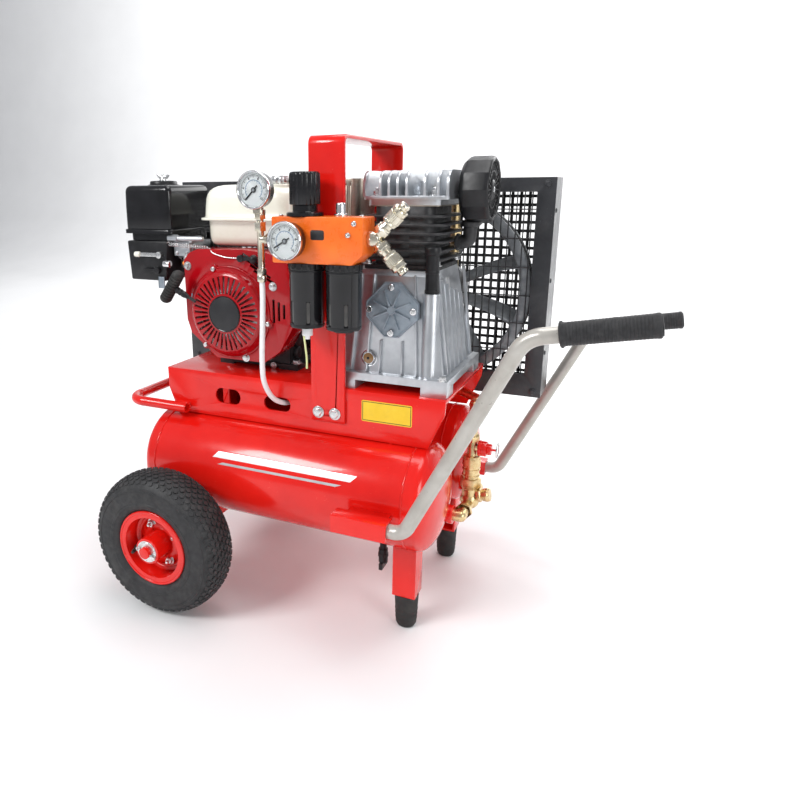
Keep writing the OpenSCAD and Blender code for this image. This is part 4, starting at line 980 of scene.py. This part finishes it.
# ------------------------------------------------------------------ regulator, knob, bowls
k = Mesh()
k.lathe([(16, -0.2, 0), (27.2, -0.2, 0), (28, 0.6, 0), (28, 4.8, 0), (26.4, 6, 0), (19.6, 6.4, 0), (19, 7.2, 0), (19, 15.6, 0), (20.4, 16.6, 0), (22.6, 17.0, 1), (23, 18, 1),
         (23, 58, 1), (22.4, 61.4, 0.8), (20.6, 63.2, 0.3), (17, 63.9, 0), (0, 64.0, 0)], (245, -172, 681.0), (0, 0, 1), 120, lobes=(24, 1.1, 0.8))
k.obj("regulator_knob_fluted", "pressure_knob", BLACKG, "black_plastic", angle=30, replaces=("regulator_knob",))
k = Mesh()
for x in (246, 308):
    k.lathe([(26.9, 0), (28.2, 0.4, 1), (28.2, 8.4, 1), (26.9, 8.9)], (x, -172, 604.1), (0, 0, 1), 96, lobes=(16, 1.0, 2.0))
    k.lathe([(26.9, 0), (27.6, 0.3), (27.6, 2.2), (26.9, 2.5)], (x, -172, 600), (0, 0, 1), 60)
    k.lathe([(24.4, 0), (26.4, 0.6), (26.9, 3), (26.9, 6)], (x, -172, 514.6), (0, 0, 1), 60)
k.obj("bowl_collars", "frame", BLACKP, "black_plastic", angle=30)
# sight windows of the bowls
k = Mesh()
for x in (246, 308):
    for a in (-60, -120):
        ca, sa = math.cos(math.radians(a)), math.sin(math.radians(a))
        tx, ty = -sa, ca
        pts = []
        for w_, z in rrect(-2.7, 523, 2.7, 555.5, 2.5, 4):
            pts.append((x + 24.9 * ca + w_ * tx, -172 + 24.9 * sa + w_ * ty, z))
        k.prism(pts, None, (ca * 0.9, sa * 0.9, 0))
k.obj("bowl_windows", "frame", SMOKE, "black_plastic", angle=30)
# silver filler plug, screws of the body, slotted adjuster whose slot is a black plate of painted shade
k = Mesh()
k.lathe([(0, -1), (9.6, -1), (10, 0), (10, 3.4), (9, 4.2), (7.2, 4.6), (7.2, 17), (6.6, 18.6), (4.8, 19.6), (0, 20)], (303, -172, 681), (0, 0, 1), 40)
k.obj("lubricator_plug", "frame", CHROME, "zinc", bevel=0.35, angle=35)
k = Mesh()
for x, z in ((334, 672), (325, 656)):
    k.socket_screw((x, -196, z), (0, -1, 0), 4.0, 3.0)
for x in (209, 339):
    k.socket_screw((x, -180, 681), (0, 0, 1), 3.4, 2.6)
k.obj("regulator_screws", "frame", CHROME, "zinc", bevel=0.15)
# flat black plate laid on the body face, with no recess: the adjuster slot's darkness is painted shade
k = Mesh()
k.prism([(x, -195.5, z) for x, z in rrect(265, 648, 287, 662, 3, 4)], None, (0, -0.7, 0))
k.obj("regulator_slot_shade", "frame", BLACK_INK_AND_SHADE, "black_plastic", bevel=0.25)
# drain hose
h = Mesh().tube(spline([(240, -173, 505), (241, -174, 497), (244, -176, 482), (247, -178, 464), (248, -180, 448)], 6), 1.7, 10)
h.obj("bowl_drain_hose", "bowl_tap", LIME, "white_plastic", angle=60)

# ------------------------------------------------------------------ white air tube
tp = [(169, -175, 583), (169, -175, 555), (168, -175, 530), (166, -174, 500), (163, -172, 470), (160, -168, 440), (158, -162, 415), (160, -152, 392),
      (165, -139, 375), (172, -122, 365), (178, -104, 361)]
h = Mesh().tube(spline(tp, 7), 4.5, 18)
h.obj("air_tube_flexible", "frame", WHITE, "white_plastic", angle=60, replaces=("air_tube",))
h = Mesh()
h.lathe([(4.6, 0), (7.4, 0.3), (7.8, 1.2), (7.8, 9), (7.2, 10), (4.6, 10)], (169, -175, 580), (0, 0, 1), 40, lobes=None)
h.obj("tube_collet", "frame", NICKEL, "nickel", angle=35)

# ------------------------------------------------------------------ two-way outlet: knurled sleeves
def sleeve(name, u, node_name):
    o = Vector((356, -172, 650))
    u = Vector(u).normalized()
    m = Mesh()
    m.lathe([(8.8, 30.5, 0), (11.0, 30.5, 0), (11.8, 31.4, 0), (11.8, 34, 0), (11.2, 34.8, 0), (11.2, 36, 1), (12.0, 36.6, 1), (12.0, 49, 1), (11.2, 49.6, 1), (11.2, 50.8, 0),
             (11.9, 51.4, 0), (11.9, 56.4, 0), (11.0, 57.6, 0), (8.8, 57.8, 0)], o, u, 96, lobes=(32, 0.5, 1.0), close=True)
    m.obj("sleeve_knurled_" + name, "sleeve_" + name, NICKEL, "nickel", angle=28, replaces=(node_name,))
    n = Mesh()
    n.hexbolt(o + u * 13, u, 12.4, 9, washer=False, turn=0.1)
    n.hexbolt(o + u * 22.2, u, 10.6, 2.8, washer=False, turn=0.5)
    n.lathe([(7.6, 57.4), (7.8, 58.2), (7.8, 61.4), (8.3, 62.2), (8.3, 63.6), (7.7, 65.0), (6.4, 66.2), (0, 66.2)], o, u, 40)
    n.obj("coupling_body_" + name, "frame", NICKEL, "nickel", bevel=0.4, angle=35)
    # the black disc over the closed end is painted shade: it stands for the dark inside of the coupling's open bore
    n = Mesh().lathe([(4.9, 66.2), (4.7, 66.5), (0, 66.5)], o, u, 32)
    n.obj("coupling_bore_shade_" + name, "frame", BLACK_INK_AND_SHADE, "nickel", angle=35)


sleeve("upper", (0.7, 0, 0.714), "coupler_upper")
sleeve("lower", (0.7, 0, -0.714), "coupler_lower")
n = Mesh()
n.lathe([(9, -9.0), (11.4, -8.6), (12, -7.5), (12, -1.5), (11, -0.6), (9, -0.4)], (356, -172, 650), (1, 0, 0), 6)
n.lathe([(0, -11.6), (8.6, -11.2), (10.2, -9), (10.2, 9), (8.6, 11.2), (0, 11.6)], (355.5, -172, 650), (0, 1, 0), 32)
n.obj("outlet_hub", "frame", NICKEL, "nickel", bevel=0.4, angle=35)

# ------------------------------------------------------------------ pump
p = Mesh()
for a in (0, 90, 180, 270):
    x, z = 360 + 36 * math.cos(math.radians(a)), 536 + 36 * math.sin(math.radians(a))
    p.socket_screw((x, -106, z), (0, -1, 0), 5.6, 5)
p.obj("bearing_cover_screws", "frame", CHROME, "zinc", bevel=0.2)
p = Mesh()
for k in range(8):   # radial ribs, a little proud of the cast ones
    a_ = math.radians(22.5 + 45 * k)
    ca, sa = math.cos(a_), math.sin(a_)
    pts = [(360 + q * ca - w_ * sa, -105.8, 536 + q * sa + w_ * ca) for q, w_ in ((6, -1.5), (33, -1.1), (33, 1.1), (6, 1.5))]
    p.prism(pts, None, (0, -3.4, 0))
octo = [(12, 43.5), (43.5, 12), (43.5, -12), (12, -43.5), (-12, -43.5), (-43.5, -12), (-43.5, 12), (-12, 43.5)]
rg = [[(360 + x * k_, y_, 536 + z_ * k_) for x, z_ in octo] for k_, y_ in ((0.985, -105.6), (0.98, -107.3), (0.94, -107.5), (0.93, -105.6))]
p.loft(rg, caps=False)
p.lathe([(7.2, 2.4), (7.0, 3.4), (5.6, 3.6), (5.2, 2.9), (0, 2.9)], (360, -105.9, 536), (0, -1, 0), 36)
p.obj("bearing_cover_web", "frame", GREYC, "cast_aluminium", bevel=0.3, angle=28)
# cast ridges running down the crankcase front, and a raised strip under the cover
p = Mesh()
for xb, w_ in ((290, 2.2), (318, 1.8), (340, 1.5), (378, 1.5), (402, 1.8)):
    xt = 360 + (xb - 360) * 0.80
    z1_ = 486 if 325 < xb < 395 else 590
    xt = xb + (xt - xb) * (z1_ - 433) / 157
    vs = []
    for z, xx in ((433, xb), (z1_, xt)):
        yf = -102 + (z - 432) / 165 * 10
        vs += [(xx - w_, yf - 4.4, z), (xx + w_, yf - 4.4, z), (xx + w_ + 1.2, yf + 2, z), (xx - w_ - 1.2, yf + 2, z)]
    p.add(vs, [(3, 2, 1, 0), (4, 5, 6, 7), (0, 1, 5, 4), (1, 2, 6, 5), (2, 3, 7, 6), (3, 0, 4, 7)])
p.obj("crankcase_ridges", "frame", ALU, "cast_aluminium", bevel=1.1, angle=35)
# sight glass
p = Mesh()
so = Vector((322, -100.8, 455))
sd = Vector((0, -1, 0.06)).normalized()
p.mat(0).hexbolt(so, sd, 12.2, 5.0, washer=False, turn=0.1)
p.mat(0).lathe([(12.2, -0.6), (13.4, -0.2), (13.4, 1.2), (12.2, 1.6)], so, sd, 44)
p.mat(1).lathe([(8.8, 4.6), (8.6, 5.6), (6.0, 6.3), (0, 6.5)], so, sd, 36)
p.mat(2).lathe([(2.4, 6.4), (2.2, 6.9), (0, 7.0)], so, sd, 20)
p.obj("oil_sight_glass", "frame", [CHROME, OIL, BLACKG], "zinc", angle=32)
# blank badge on the crankcase side, top ledge of its front
p = Mesh()
p.prism([(444 - (z - 432) * 20 / 165 - 0.2, y, z) for y, z in rrect(-41, 559, -21, 582, 2, 3)], None, (1.1, 0, 0.13))
p.obj("blank_badge", "frame", SILVERF, "cast_aluminium", bevel=0.2)
p = Mesh()
p.box((296, -94.0, 588), (424, -89.5, 597))
for x in (274, 446):
    p.lathe([(0, 0), (9.5, 0), (9.5, 7.5), (8.6, 8.6), (0, 8.6)], (x, -102 if x > 300 else -102, 421), (0, 0, 1), 28)
p.obj("crankcase_ribs", "frame", ALU, "cast_aluminium", bevel=0.9)
# crankcase side: two upright ribs of the window frame
p = Mesh()
rt = Matrix.Rotation(math.radians(-7.6), 3, "Y")
for yy in (-88, 66):
    vs = []
    for z, xo in ((436, 443.4), (590, 424.6)):
        vs += [(xo, yy, z), (xo + 5.4, yy, z), (xo + 5.4, yy + 4, z), (xo, yy + 4, z)]
    p.add(vs, [(3, 2, 1, 0), (4, 5, 6, 7), (0, 1, 5, 4), (1, 2, 6, 5), (2, 3, 7, 6), (3, 0, 4, 7)])
p.obj("crankcase_side_ribs", "frame", ALU, "cast_aluminium", bevel=0.8)

# cylinder flange bolts, head bolts, gasket
p = Mesh()
for x, y in ((310, -80), (422, -80), (310, 30), (422, 30)):
    p.hexbolt((x, y, 604), (0, 0, 1), 6.2, 7.2, turn=0.3 * x)
for x, y in ((318, -66), (411, -66), (318, 22), (411, 22)):
    p.lathe([(4, 0), (8.4, 0), (8.8, 0.4), (8.8, 1.2), (8.4, 1.6), (4, 1.6)], (x, y, 708.1), (0, 0, 1), 28)
    p.lathe([(3.4, 0), (3.4, 5.4), (2.6, 6.2), (0, 6.2)], (x, y, 714.5), (0, 0, 1), 20)
p.obj("cylinder_bolts", "frame", ZINC, "zinc", bevel=0.3)
p = Mesh()
p.loft([ringz(309, -79, 423, 35, 8, 692.4), ringz(307.5, -80.5, 424.5, 36.5, 9, 692.8), ringz(307.5, -80.5, 424.5, 36.5, 9, 694.2), ringz(309, -79, 423, 35, 8, 694.6)])
p.obj("head_gasket", "frame", WARM, "warm_steel", angle=35)
p = Mesh()
for y in (-54, 10):
    p.lathe([(27.5, 0), (28.5, 1), (28.5, 93), (27.5, 94)], (366, y, 598), (0, 0, 1), 48)
for i in range(6):
    z = 611 + i * 13
    p.loft([ringz(299.5, -88.4, 432.5, 44.4, 24, z + 1.0), ringz(299.1, -88.8, 432.9, 44.8, 24.4, z + 2.0), ringz(299.5, -88.4, 432.5, 44.4, 24, z + 3.0)], caps=True)
p.obj("cylinder_fin_edges", "frame", CASTBLK, "black_cast", angle=50)
# breather cap
p = Mesh()
p.lathe([(10.15, 0), (11.0, 0.6), (11.0, 5), (10.15, 5.6), (10.15, 30), (10.8, 30.6), (10.8, 34), (10.15, 34.6), (10.15, 58), (12.0, 59), (12.4, 61), (12.4, 67.6), (11.4, 69.6), (5, 70.4), (0, 70.4)],
        (420, -94, 564.4), (0, 0, 1), 40)
p.obj("breather_tube_cap", "frame", BLACKP, "black_plastic", angle=30)

# ------------------------------------------------------------------ intake filter canister
f = Mesh()
ctr = (442, -12, 716)
f.mat(0).lathe([(0, 0.2, 0), (30, 0.2, 0), (40, 1.5, 0.3), (45.5, 5, 1), (48.6, 9, 1), (49.7, 14, 1), (49.9, 40, 1), (49.4, 45, 1), (48, 47.4, 0.8), (45.6, 47.8, 0.4), (43.4, 46.6, 0), (42.6, 43, 0), (42.4, 39, 0), (0, 38.6, 0)],
               ctr, (1, 0, 0), 12, ref=(0, 0, 1))
f.obj("intake_filter_shell", "frame", BLACKP, "black_plastic", bevel=0.9, angle=24, replaces=("air_filter",))
f = Mesh()
for k in range(24):
    a = 2 * math.pi * k / 24
    R_ = Matrix.Rotation(a, 3, "X")
    c_ = Vector(ctr)
    vs = [Vector((x, y, z)) for x, y, z in ((38, 15, -1.1), (38, 41.5, -1.3), (38, 41.5, 1.3), (38, 15, 1.1), (45.2, 15, -0.8), (45.6, 41.5, -1.0), (45.6, 41.5, 1.0), (45.2, 15, 0.8))]
    f.add([c_ + R_ @ p_ for p_ in vs], [(0, 1, 2, 3), (7, 6, 5, 4), (0, 4, 5, 1), (1, 5, 6, 2), (2, 6, 7, 3), (3, 7, 4, 0)])
for r_in, r_out in ((26.5, 28.5),):
    f.lathe([(r_in, 38), (r_in, 45.4), (r_out, 45.4), (r_out, 38)], ctr, (1, 0, 0), 72, close=True)
f.lathe([(0, 46.8), (9, 46.8), (13, 46.4), (15, 45), (15.6, 42), (15.6, 38)], ctr, (1, 0, 0), 48)
f.obj("intake_filter_grille", "frame", BLACKP, "black_plastic", bevel=0.3, angle=34)
f = Mesh()
f.lathe([(0, 47.7), (3.4, 47.6), (4.4, 47.2), (5.4, 46.2), (5.4, 44)], ctr, (1, 0, 0), 6)
f.obj("intake_filter_nut", "frame", ZINC, "zinc", angle=30)
f = Mesh()
f.tube(spline([(433, -12, 636), (444, -12, 636.3), (452.6, -12, 640), (454.8, -12, 650), (455, -12, 668)], 6), 10.9, 24)
for x in (436,):
    f.lathe([(11, 0), (13.4, 0.4), (13.4, 3.6), (11, 4)], (434, -12, 636), (1, 0, 0), 36)
f.lathe([(10.9, 0), (14, 0.6), (15, 3), (15, 7), (13, 9)], (455, -12, 660), (0, 0, 1), 36)
f.obj("intake_elbow", "frame", CASTBLK, "black_cast", angle=40)

# ------------------------------------------------------------------ flywheel with twisted aerofoil blades
w = Mesh()
rimp = [(151, -15), (152, -16.6), (154, -17), (169, -17), (171, -15.6), (171, -10), (169.4, -8.8), (161.4, -7.4), (160.8, -6.6), (160.8, 6.6), (161.4, 7.4), (169.4, 8.8),
        (171, 10), (171, 15.6), (169, 17), (154, 17), (152, 16.6), (151, 15)]
w.lathe(rimp, (360, 163, 536), (0, -1, 0), 160, close=True)
w.lathe([(14.3, -18.6), (24, -19), (32, -18), (34, -15), (36, -9.5), (50, -8.6), (53, -7), (53, 7), (50, 8.6), (36, 9.5), (34, 15), (32, 18), (14.3, 19)], (360, 163, 536), (0, -1, 0), 96, close=True)
for k in range(9):
    rings = []
    for r, tw, ch, th, sw in ((47, 34, 30, 7.0, 0), (58, 33, 33, 6.2, 1.5), (75, 31, 36, 5.4, 3), (95, 29, 38, 4.8, 4), (118, 28, 42, 5.0, 4), (138, 28, 45, 6.0, 2.5), (153.5, 30, 47, 8.4, 0)):
        ring = []
        m_ = 14
        for q in range(m_):
            t = 2 * math.pi * q / m_
            cx_, cy_ = 0.5 * ch * math.cos(t), 0.5 * th * math.sin(t) + 2.6 * math.cos(t) ** 2
            a = math.radians(tw)
            # chord mostly along Y (through the wheel), tilted sideways
            lat = cx_ * math.sin(a) + cy_ * math.cos(a) + sw
            dep = cx_ * math.cos(a) - cy_ * math.sin(a)
            dep = max(-16.6, min(16.6, dep))
            ring.append((lat, dep, r))
        rings.append(ring)
    ang = math.radians(90 - (20 - 40 * k)) * 0 + math.radians(20 - 40 * k)
    out = []
    for ring in rings:
        rr = []
        for lat, dep, r in ring:
            x = 360 + r * math.cos(ang) - lat * math.sin(ang)
            z = 536 + r * math.sin(ang) + lat * math.cos(ang)
            rr.append((x, 163 + dep, z))
        out.append(rr)
    w.loft(out)
w.obj("flywheel_bladed", "pump_shaft", IRON, "grey_iron", angle=40, replaces=("flywheel",))
n = Mesh()
n.hexbolt((360, 182, 536), (0, 1, 0), 15, 11)
n.obj("flywheel_nut", "pump_shaft", ZINC, "zinc", bevel=0.5)
n = Mesh()
n.hexbolt((62, 182, 512), (0, 1, 0), 11, 8)
n.obj("engine_pulley_bolt", "engine_shaft", ZINC, "zinc", bevel=0.4)

# ------------------------------------------------------------------ guard: wire grille in front, square mesh behind
gx0, gx1, gz0, gz1 = -205, 562, 348, 735
w = Mesh()
def wire(p, q, r, n=6):
    w.tube([p, q], r, n)
x = gx0 + 12
while x < gx1 - 6:
    holes = [(62, 512, 21), (360, 536, 40)]
    z0, z1 = gz0 + 6, gz1 - 6
    segs = [(z0, z1)]
    for hx, hz, hr in holes:
        if abs(x - hx) < hr:
            h_ = math.sqrt(hr * hr - (x - hx) ** 2)
            segs = [(a, b) for s_ in segs for a, b in ((s_[0], hz - h_), (hz + h_, s_[1]))]
    for a, b_ in segs:
        wire((x, 140.2, a), (x, 140.2, b_), 1.15)
    x += 12.8
z = gz0 + 34
while z < gz1 - 20:
    segs = [(gx0 + 6, gx1 - 6)]
    for hx, hz, hr in ((62, 512, 21), (360, 536, 40)):
        if abs(z - hz) < hr:
            h_ = math.sqrt(hr * hr - (z - hz) ** 2)
            segs = [(a, b) for s_ in segs for a, b in ((s_[0], hx - h_), (hx + h_, s_[1])) if s_[0] < hx - h_ < s_[1] or s_[0] > hx]
            segs = [s_ for s_ in segs if s_[1] > s_[0]]
    for a, b_ in segs:
        wire((a, 141.9, z), (b_, 141.9, z), 1.15)
    z += 50
for hx, hz, hr in ((62, 512, 21), (360, 536, 40)):
    w.tube([(hx + hr * math.cos(2 * math.pi * k / 40), 141.0, hz + hr * math.sin(2 * math.pi * k / 40)) for k in range(40)], 1.6, 8, closed=True)
w.obj("guard_front_wires", "frame", WIRE, "guard_black", angle=60, replaces=("guard_grille",))
w = Mesh()
# square perforated sheet: flat strips with the holes between them
pitch, web = 15.5, 5.4
x = gx0 + 16
y0_, y1_ = 209.9, 211.5
cols = []
while x < gx1 - 14:
    cols.append(x)
    x += pitch
z = gz0 + 14
rows_ = []
while z < gz1 - 12:
    rows_.append(z)
    z += pitch
for x in cols:
    w.box((x - web / 2, y0_, gz0 + 5), (x + web / 2, y1_, gz1 - 5))
for z in rows_:
    w.box((gx0 + 5, y0_ - 0.12, z - web / 2), (gx1 - 5, y1_ + 0.12, z + web / 2))
w.obj("guard_rear_mesh", "frame", WIRE, "guard_black", bevel=0.25, seg=1, angle=40, replaces=("guard_mesh",))
w = Mesh()
for x in (gx0 + 16, 100, 300, gx1 - 14):
    for z in (gz0 + 11, gz1 - 11):
        w.hexbolt((x, 136, z), (0, -1, 0), 5.2, 4.6, turn=x)
for z in (430, 560, 680):
    w.lathe([(4.4, 0), (4.2, 1.2), (2.8, 2.1), (0, 2.4)], (gx1 - 0.2, 150, z), (1, 0, 0), 20)
w.obj("guard_bolts", "frame", GUARD, "guard_black", bevel=0.3)

# ------------------------------------------------------------------ handles: ribbed foam grips with end plugs, socket welds
def grip(name, a, b):
    a, b = Vector(a), Vector(b)
    d_ = (b - a).normalized()
    L_ = (b - a).length
    prof = [(11.1, 0.2), (15.4, 0.2), (16.8, 1.2), (17.0, 3.4), (15.6, 4.4)]
    h_ = 6.5
    while h_ < L_ - 9:
        prof += [(14.95, h_), (14.95, h_ + 2.0), (14.45, h_ + 2.4), (14.45, h_ + 3.0), (14.95, h_ + 3.4)]
        h_ += 3.9
    prof += [(14.9, L_ - 5), (15.3, L_ - 4), (15.3, L_ - 0.5), (14.2, L_ + 0.9), (12.6, L_ + 1.4), (12.4, L_ + 2.6), (8, L_ + 2.95), (0, L_ + 3)]
    return Mesh().lathe(prof, a, d_, 60).obj(name, "frame", FOAM, "rubber", angle=34)


def along(p, t):
    return (p[0][0] + (p[1][0] - p[0][0]) * t, p[0][1] + (p[1][1] - p[0][1]) * t)


ga = along(((584, 538), (734, 565.5)), 0.27)
gb = along(((630, 464), (778, 491)), 0.27)
o1 = grip("grip_near_ribbed", (ga[0], -236, ga[1]), (734, -236, 565.5))
o2 = grip("grip_far_ribbed", (gb[0], 236, gb[1]), (778, 236, 491))
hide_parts("grips")
s = Mesh()
# weld fillets where the handle sockets meet their arms
for pts in ([(331, -221.4, 236.6), (397, -221.4, 236.6)], [(331, -221.4, 221.4), (397, -221.4, 221.4)], [(377, 221.4, 162.6), (419, 221.4, 162.6)]):
    q = [(pts[0][0] + (pts[1][0] - pts[0][0]) * i / 20, pts[0][1] + 0.25 * math.sin(i * 2.1), pts[0][2] + 0.25 * math.cos(i * 1.7)) for i in range(21)]
    s.tube(q, 1.6, 8)
s.obj("socket_welds", "frame", RED, "red_paint", angle=60)

# ------------------------------------------------------------------ pipework: nuts, valve collars
b = Mesh()
for (o, ax, r, h) in (((400, 42, 722), (0, 1, 0), 13.5, 11), ((400, 108, 640), (0, 0, 1), 12.5, 11), ((400, 108, 404.5), (0, 0, 1), 15, 8), ((474, 20, 362), (0, -1, 0), 13, 11),
                      ((474, 0, 300), (0, 0, 1), 13, 11), ((474, 34, 186), (0, 1, 0), 14.5, 10), ((474, -44, 186), (0, 1, 0), 14.5, 10), ((486, 0, 200.4), (1, 0, 0.2), 13, 9)):
    b.hexbolt(o, ax, r, h, washer=False, turn=0.2)
b.lathe([(8.2, 0), (11.4, 0.6), (12, 2), (12, 6), (10.5, 8), (7.6, 8.4), (7.4, 9.2), (0, 9.2)], (500, 0, 203), (1, 0, 0.2), 36)
b.lathe([(14, 0), (15.4, 0.6), (15.4, 2.4), (14, 3)], (474, 0, 236), (0, 0, 1), 40)
b.lathe([(14, 0), (15.4, 0.6), (15.4, 2.4), (14, 3)], (474, 0, 247), (0, 0, 1), 40)
b.obj("pipe_nuts", "frame", BRASS, "brass", bevel=0.45)
b = Mesh()
b.lathe([(9.2, 499), (9.6, 499.6), (9.6, 505), (8.6, 507.2), (3, 507.4)], (0, 0, 288), (1, 0, 0), 48, lobes=(16, 0.6))
b.lathe([(13.0, 485.6), (13.7, 486.4), (13.7, 489), (13.0, 489.8)], (0, 0, 288), (1, 0, 0), 60)
b.obj("relief_valve_knurl", "frame", RED, "red_paint", angle=32)
b = Mesh()
for s_ in (-1, 1):
    b2 = Mesh()
    b2.lathe([(8.1, 0), (9.0, 0.4), (9.0, 7), (8.1, 7.6)], (353, s_ * 105, 104), (0, 0, 1), 60, lobes=(18, 0.7))
    b2.lathe([(4, -1), (3.4, -6), (0, -6.2)], (353, s_ * 105, 95), (0, 0, 1), 20)
    b2.obj("drain_cock_ring_" + ("front" if s_ < 0 else "rear"), "front_drain" if s_ < 0 else "rear_drain", BLACKP, "black_plastic", angle=30)

# ------------------------------------------------------------------ feet: ribs
r2 = Mesh()
for s_ in (-1, 1):
    for z in (14, 22, 30):
        rr = 17.5 + 3.0 * (z - 5) / 55
        r2.lathe([(rr - 0.6, -1.6), (rr + 0.5, -1.0), (rr + 0.5, 1.0), (rr - 0.6, 1.6)], (404, s_ * 126, z), (0, 0, 1), 48)
r2.obj("foot_ribs", "frame", RUBBER, "rubber", angle=40)

# ------------------------------------------------------------------ muffler guard bars and trim
m = Mesh()
for k in range(7):
    m.box((193 + k * 8.2, 3.2, 668), (196.4 + k * 8.2, 4.4, 724))
m.lathe([(0, 0), (9, 0), (10, 1), (10, 4), (8, 5), (8, 14), (9.4, 15), (9.4, 18), (0, 18)], (222, 92, 712), (0, 1, 0), 36)
m.obj("muffler_guard_bars", "frame", WARM, "warm_steel", bevel=0.4)
